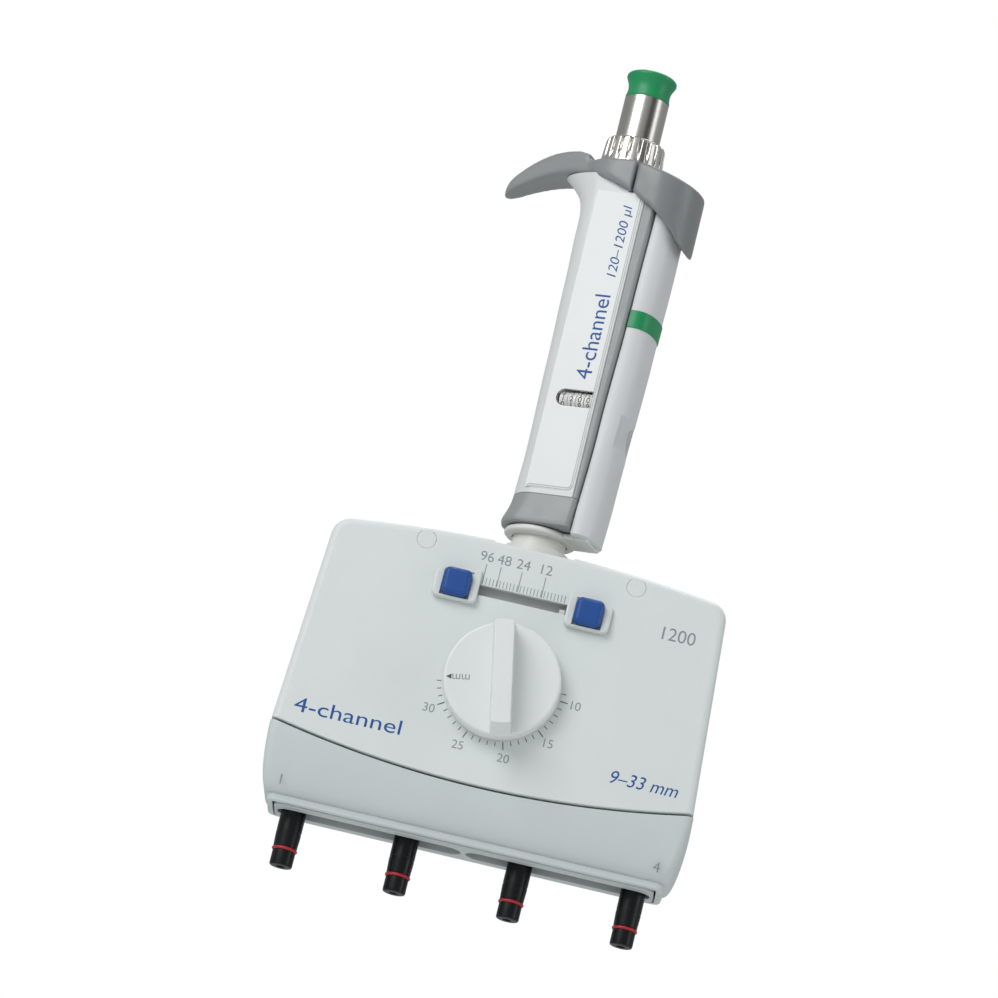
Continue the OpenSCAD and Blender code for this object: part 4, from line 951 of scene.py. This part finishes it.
# ---- ejector ring and neck ----
# White chamfered ring round the cream neck tube, with a foot that carries the sleeve.
ring_white = finish("ring plastic", "dadcd9", 0.42, mottle=0.012, relief=0.004)
neck_ivory = finish("neck plastic", "dfe0da", 0.4, mottle=0.012, relief=0.004)
ring_low, ring_high = span("ejector_ring")
ring_r, ring_bore = 10.6, 8.2
collar = [(ring_bore, 0), (ring_r - 0.9, 0), (ring_r - 0.2, 0.55), (ring_r, 0.95), (ring_r, 1.5),
    (ring_r - 0.25, 1.95), (ring_r - 0.6, 2.2), (ring_bore, 2.2)]


def lathe(name, profile, z=0.0, steps=96, spin=0.0, x=0.0, y=0.0):
    """closed ring turned from (radius, height) points"""
    n = len(profile)
    points, faces = [], []
    for i in range(steps):
        a = 2 * math.pi * i / steps + spin
        points += [(x + r * math.cos(a), y + r * math.sin(a), z + h) for r, h in profile]
        for k in range(n):
            j = (i + 1) % steps
            faces.append((i * n + k, j * n + k, j * n + (k + 1) % n, i * n + (k + 1) % n))
    o = solid(name, points, faces)
    work = bmesh.new()
    work.from_mesh(o.data)
    bmesh.ops.remove_doubles(work, verts=work.verts, dist=1e-7)
    bmesh.ops.dissolve_degenerate(work, edges=work.edges, dist=1e-8)
    bmesh.ops.recalc_face_normals(work, faces=work.faces)
    work.to_mesh(o.data)
    work.free()
    return o


thrust = lathe("ejector_collar", collar, ring_low.z + foot_rise)
fix(thrust, ring_white, "ejector", "ring_white", "ejector_ring", sharp=50)
foot_bar = bar("ejector_foot", (7.5, -5.6, ring_low.z + foot_rise + 0.5),
    (16.6, 5.6, ring_low.z + foot_rise + 2.2))
soften_edges(foot_bar, 0.6, 50, 4)
fix(at_handle(foot_bar), ring_white, "ejector", "ring_white")


def dress(look, *nodes):
    """gives CAD nodes a material of this scene"""
    for n in nodes:
        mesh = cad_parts[n].data
        mesh.materials.clear()
        mesh.materials.append(look)


dress(neck_ivory, "neck_tube", "ejector_tube")

# ---- finger rest and ejector button ----
# Two satin grey mouldings that make up the collar: the hooked rest and, behind a round
# seam, the lever pressed to push the tips off. Edges are full and blend into each other.
rest_grey = finish("rest plastic", "85898a", 0.38, mottle=0.02, smear=0.07, relief=0.01, grain=2600)
lever_grey = finish("lever plastic", "7a7e7f", 0.36, mottle=0.02, smear=0.07, relief=0.01, grain=2600)


def joined_copy(name, node, near):
    """copy of a CAD node's mesh whose loose triangles are joined where they meet"""
    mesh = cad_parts[node].data.copy()
    work = bmesh.new()
    work.from_mesh(mesh)
    bmesh.ops.remove_doubles(work, verts=work.verts, dist=near)
    work.to_mesh(mesh)
    work.free()
    return added(name, mesh)


def relaxed(name, node, reshape=None):
    """a CAD node's shape, rebuilt on a fine grid in the handle's own frame and smoothed"""
    o = joined_copy(name, node, 2e-6)
    o.data.transform(handle_turn.inverted())
    if reshape:
        reshape(o)
    m = o.modifiers.new("grid", "REMESH")
    m.mode, m.voxel_size = "VOXEL", 0.0004
    m = o.modifiers.new("smooth", "SMOOTH")
    m.factor, m.iterations = 0.6, 36
    plain(o)
    return at_handle(o)



def lift_hook(o):
    """raises the hook's blade a little behind the ring and lets its tip down again"""
    for v in o.data.vertices:
        rise, fall = (min(1, max(0, (start - v.co.x) / way))
            for start, way in ((-0.009, 0.005), (-0.022, 0.01)))
        v.co.z += 0.0007 * rise - 0.0006 * fall


rest = relaxed("finger_rest_hook", "finger_rest", lift_hook)
skirt_way_r = 8.75
carve(rest, column("ring_way", 0, 0, skirt_way_r, -25, 25), column("shell_way", 0, 0, 11.5, -6, 5.2))
fix(rest, rest_grey, "handle", "rest_grey", "finger_rest", sharp=180)
lever = relaxed("ejector_lever", "ejector_button")
carve(lever, column("ring_way", 0, 0, skirt_way_r, -25, 25))
fix(lever, lever_grey, "ejector", "button_grey", "ejector_button", sharp=180)

# ---- volume ring ----
# Knurled steel ring: twenty lobes between tapered grooves that open upwards, above a
# plain collar, with a thin skirt down into the handle.
knurled_steel = finish("knurled steel", "cfcdc8", 0.3, metal=1.0, smear=0.04, mottle=0.03, grain=900,
    relief=0.0004)
knurl_low, knurl_high = span("volume_ring")
knurl_base = span("ejector_button")[1].z + 0.3
knurl_h, lobes = knurl_high.z - knurl_base + 1.2, 20
half_lobe = math.pi / lobes
across_steps, up_steps = 16, 12


def lobe_radius(angle, share):
    """radius of the ring's side at an angle from a lobe's middle and a share of its height"""
    base = 9.35 - 0.6 * share
    t = min(1.0, max(0.0, (abs(angle) / half_lobe - 0.52) / 0.48))
    depth = 1.25 * min(1.0, max(0.0, (share - 0.1) / 0.75)) ** 0.8
    return base - depth * t * t * (3 - 2 * t)


lobe_points = []
profile_steps = [(i / up_steps, 0) for i in range(up_steps)] + [(0.975, 0.12), (1.0, 0.42)]
for j in range(across_steps + 1):
    a = -half_lobe + 2 * half_lobe * j / across_steps
    column_points = [(8.6, 0.0), (9.05, 0.0), (9.3, 0.2)]
    column_points += [(lobe_radius(a, s) - back_off, max(0.35, s * knurl_h)) for s, back_off in profile_steps]
    column_points += [(7.3, knurl_h), (6.85, knurl_h - 0.3), (6.85, knurl_h - 3)]
    lobe_points += [(r * math.cos(a), r * math.sin(a), h) for r, h in column_points]
rows = len(column_points)
lobe_faces = [(j * rows + k, (j + 1) * rows + k, (j + 1) * rows + k + 1, j * rows + k + 1)
              for j in range(across_steps) for k in range(rows - 1)]
mesh = bpy.data.meshes.new("knurled_ring")
mesh.from_pydata([Vector(p) / 1000 for p in lobe_points], [], lobe_faces)
knurl = added("knurled_ring", mesh)
repeat(knurl, lobes, knurled_steel, turn=(0, 0, 2 * half_lobe), weld=2e-6, place=(0, 0, knurl_base))
fix(knurl, knurled_steel, "volume_ring", "knurled_steel", "volume_ring", sharp=50)
skirt = lathe("ring_skirt", [(8.4, 0), (8.4, knurl_base + 1 - knurl_low.z),
    (6.85, knurl_base + 1 - knurl_low.z), (6.85, 1.6), (4.4, 1.6), (4.4, 0)], knurl_low.z, 64)
fix(skirt, steel, "volume_ring", "knurled_steel")

# ---- push button ----
# Brushed steel sleeve closed by a green cap whose side curves out to a rolled lip.
brushed = finish("brushed steel", "bdbbb6", 0.27, metal=1.0, smear=0.05, mottle=0.03, stretch=(1, 1, 0.03),
    relief=0.0012, grain=3200)
push_low, push_high = span("push_sleeve")
cap_low, cap_high = span("push_cap")
push_r = push_high.x
push = lathe("push_sleeve_tube", [(push_r - 0.7, 0), (push_r, 0), (push_r, push_high.z - push_low.z - 0.02),
                                  (push_r - 0.7, push_high.z - push_low.z - 0.02)], push_low.z, 128)
fix(push, brushed, "plunger", "push_steel", "push_sleeve")
cap_h = cap_high.z - cap_low.z
cap_profile = [(0.02, 0.0), (push_r - 0.15, 0.0), (push_r, 0.12), (push_r - 0.02, 0.8),
    (push_r - 0.22, 1.8), (push_r - 0.32, 2.8), (push_r - 0.22, 3.9), (push_r + 0.08, 4.9),
    (push_r + 0.45, 5.7), (7.32, 6.25), (7.46, 6.6), (7.48, 6.95), (7.35, 7.3), (7.05, 7.58), (6.6, 7.8),
    (5.6, 8.0), (4.6, 7.95), (3.2, 7.75), (0.02, 7.6)]
cap_profile = [(r, h / 8.0 * (cap_h - 0.05)) for r, h in cap_profile]
cap = lathe("push_button_cap", cap_profile, cap_low.z, 128)
fix(cap, band_green, "plunger", "push_green", "push_cap", sharp=60)

# ---- tip cones ----
# Black cones turned from one bar, with chamfered ends, a groove for the dark red sealing
# ring and the air bore, each on its own carriage.
cone_black = finish("cone plastic", "06080c", 0.34, mottle=0.2, smear=0.06, relief=0.004,
    Specular_IOR_Level=0.3)
seal_red = finish("seal rubber", "a3202a", 0.42, mottle=0.1, relief=0.006)
for channel in range(1, 5):
    low, high = span(f"tip_cone_{channel}")
    x = (low.x + high.x) / 2
    seal_h = 5.0
    profile = [(1.15, 0.4), (1.35, 0.0), (2.75, 0.0), (3.1, 0.14), (3.3, 0.5), (3.3, seal_h - 0.6),
        (3.22, seal_h - 0.5), (2.85, seal_h - 0.5), (2.85, seal_h + 0.5), (3.32, seal_h + 0.5),
        (3.42, seal_h + 0.62), (3.6, 9.4), (3.6, 9.9), (3.52, 10.0), (3.52, 10.35), (3.6, 10.45),
        (3.6, high.z - low.z), (2.6, high.z - low.z), (1.15, high.z - low.z - 0.3)]
    cone = lathe(f"cone_{channel}", profile, low.z, 72, x=x)
    fix(cone, cone_black, f"channel_{channel}", "cone_black", f"tip_cone_{channel}", sharp=30)
    bead = [(3.22 + 0.48 * math.cos(a), 0.48 * math.sin(a))
        for a in [math.radians(i * 30) for i in range(12)]]
    seal = lathe(f"seal_{channel}", bead, low.z + seal_h, 60, x=x)
    fix(seal, seal_red, f"channel_{channel}", "seal_red", f"tip_seals_{channel}", sharp=180)

# ---- parts inside ----
# Springs, rods, racks, pistons and hoses seen only through the openings or with the
# covers off; each keeps its modelled shape and gets the finish of what it is made of.
spring_wire = finish("spring wire", "b9b9b6", 0.3, metal=1.0, mottle=0.05, stretch=(1, 1, 0.3))
works_grey = finish("works plastic", "70757a", 0.5, mottle=0.04)
works_pale = finish("inner plastic", "cfd3d2", 0.5, mottle=0.03)
hose_clear = finish("hose silicone", "e6e7e2", 0.45, mottle=0.03, Subsurface_Weight=0.1)
bush_tan = finish("bearing bronze", "b58f5c", 0.38, metal=0.8, mottle=0.08)
cam_brass = finish("cam plate brass", "b99b4e", 0.34, metal=0.9, mottle=0.06, stretch=(0.1, 1, 1))
seal_pale = finish("seal plastic", "e8e8e2", 0.4, mottle=0.03)
dress(steel, "counter_axle", "setting_tube", "push_rod", "dial_shaft", "guide_rails", "pistons",
    "cover_screws")
dress(works_grey, "chassis", "rail_bracket", "carriage_1", "carriage_2", "carriage_3", "carriage_4")
dress(works_pale, "cylinders", "piston_bridge", "spacing_slider")
dress(hose_clear, "air_hoses")
dress(bush_tan, "dial_bush")
dress(cam_brass, "cam_plate")
dress(seal_pale, "piston_seals")

# ---- springs ----
# Coiled steel wire: one under the push button, one that lifts the ejector and one on each
# piston rod; each stands on a fixed seat and keeps its modelled shape.
spring_travel = 13.5
for node, body, joint, seat_z, travel in (("plunger_spring", "handle", "push_button_press", -19.58,
        spring_travel), ("ejector_spring", "handle", "ejector_press", -62.28, 4.0),
        ("piston_springs", "housing", "push_button_press", -163.08, spring_travel)):
    low, high = span(node)
    coils = joined_copy(node + "_coils", node, 1e-6)
    fix(coils, spring_wire, body, "spring_steel", node, sharp=180)
    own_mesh(coils)
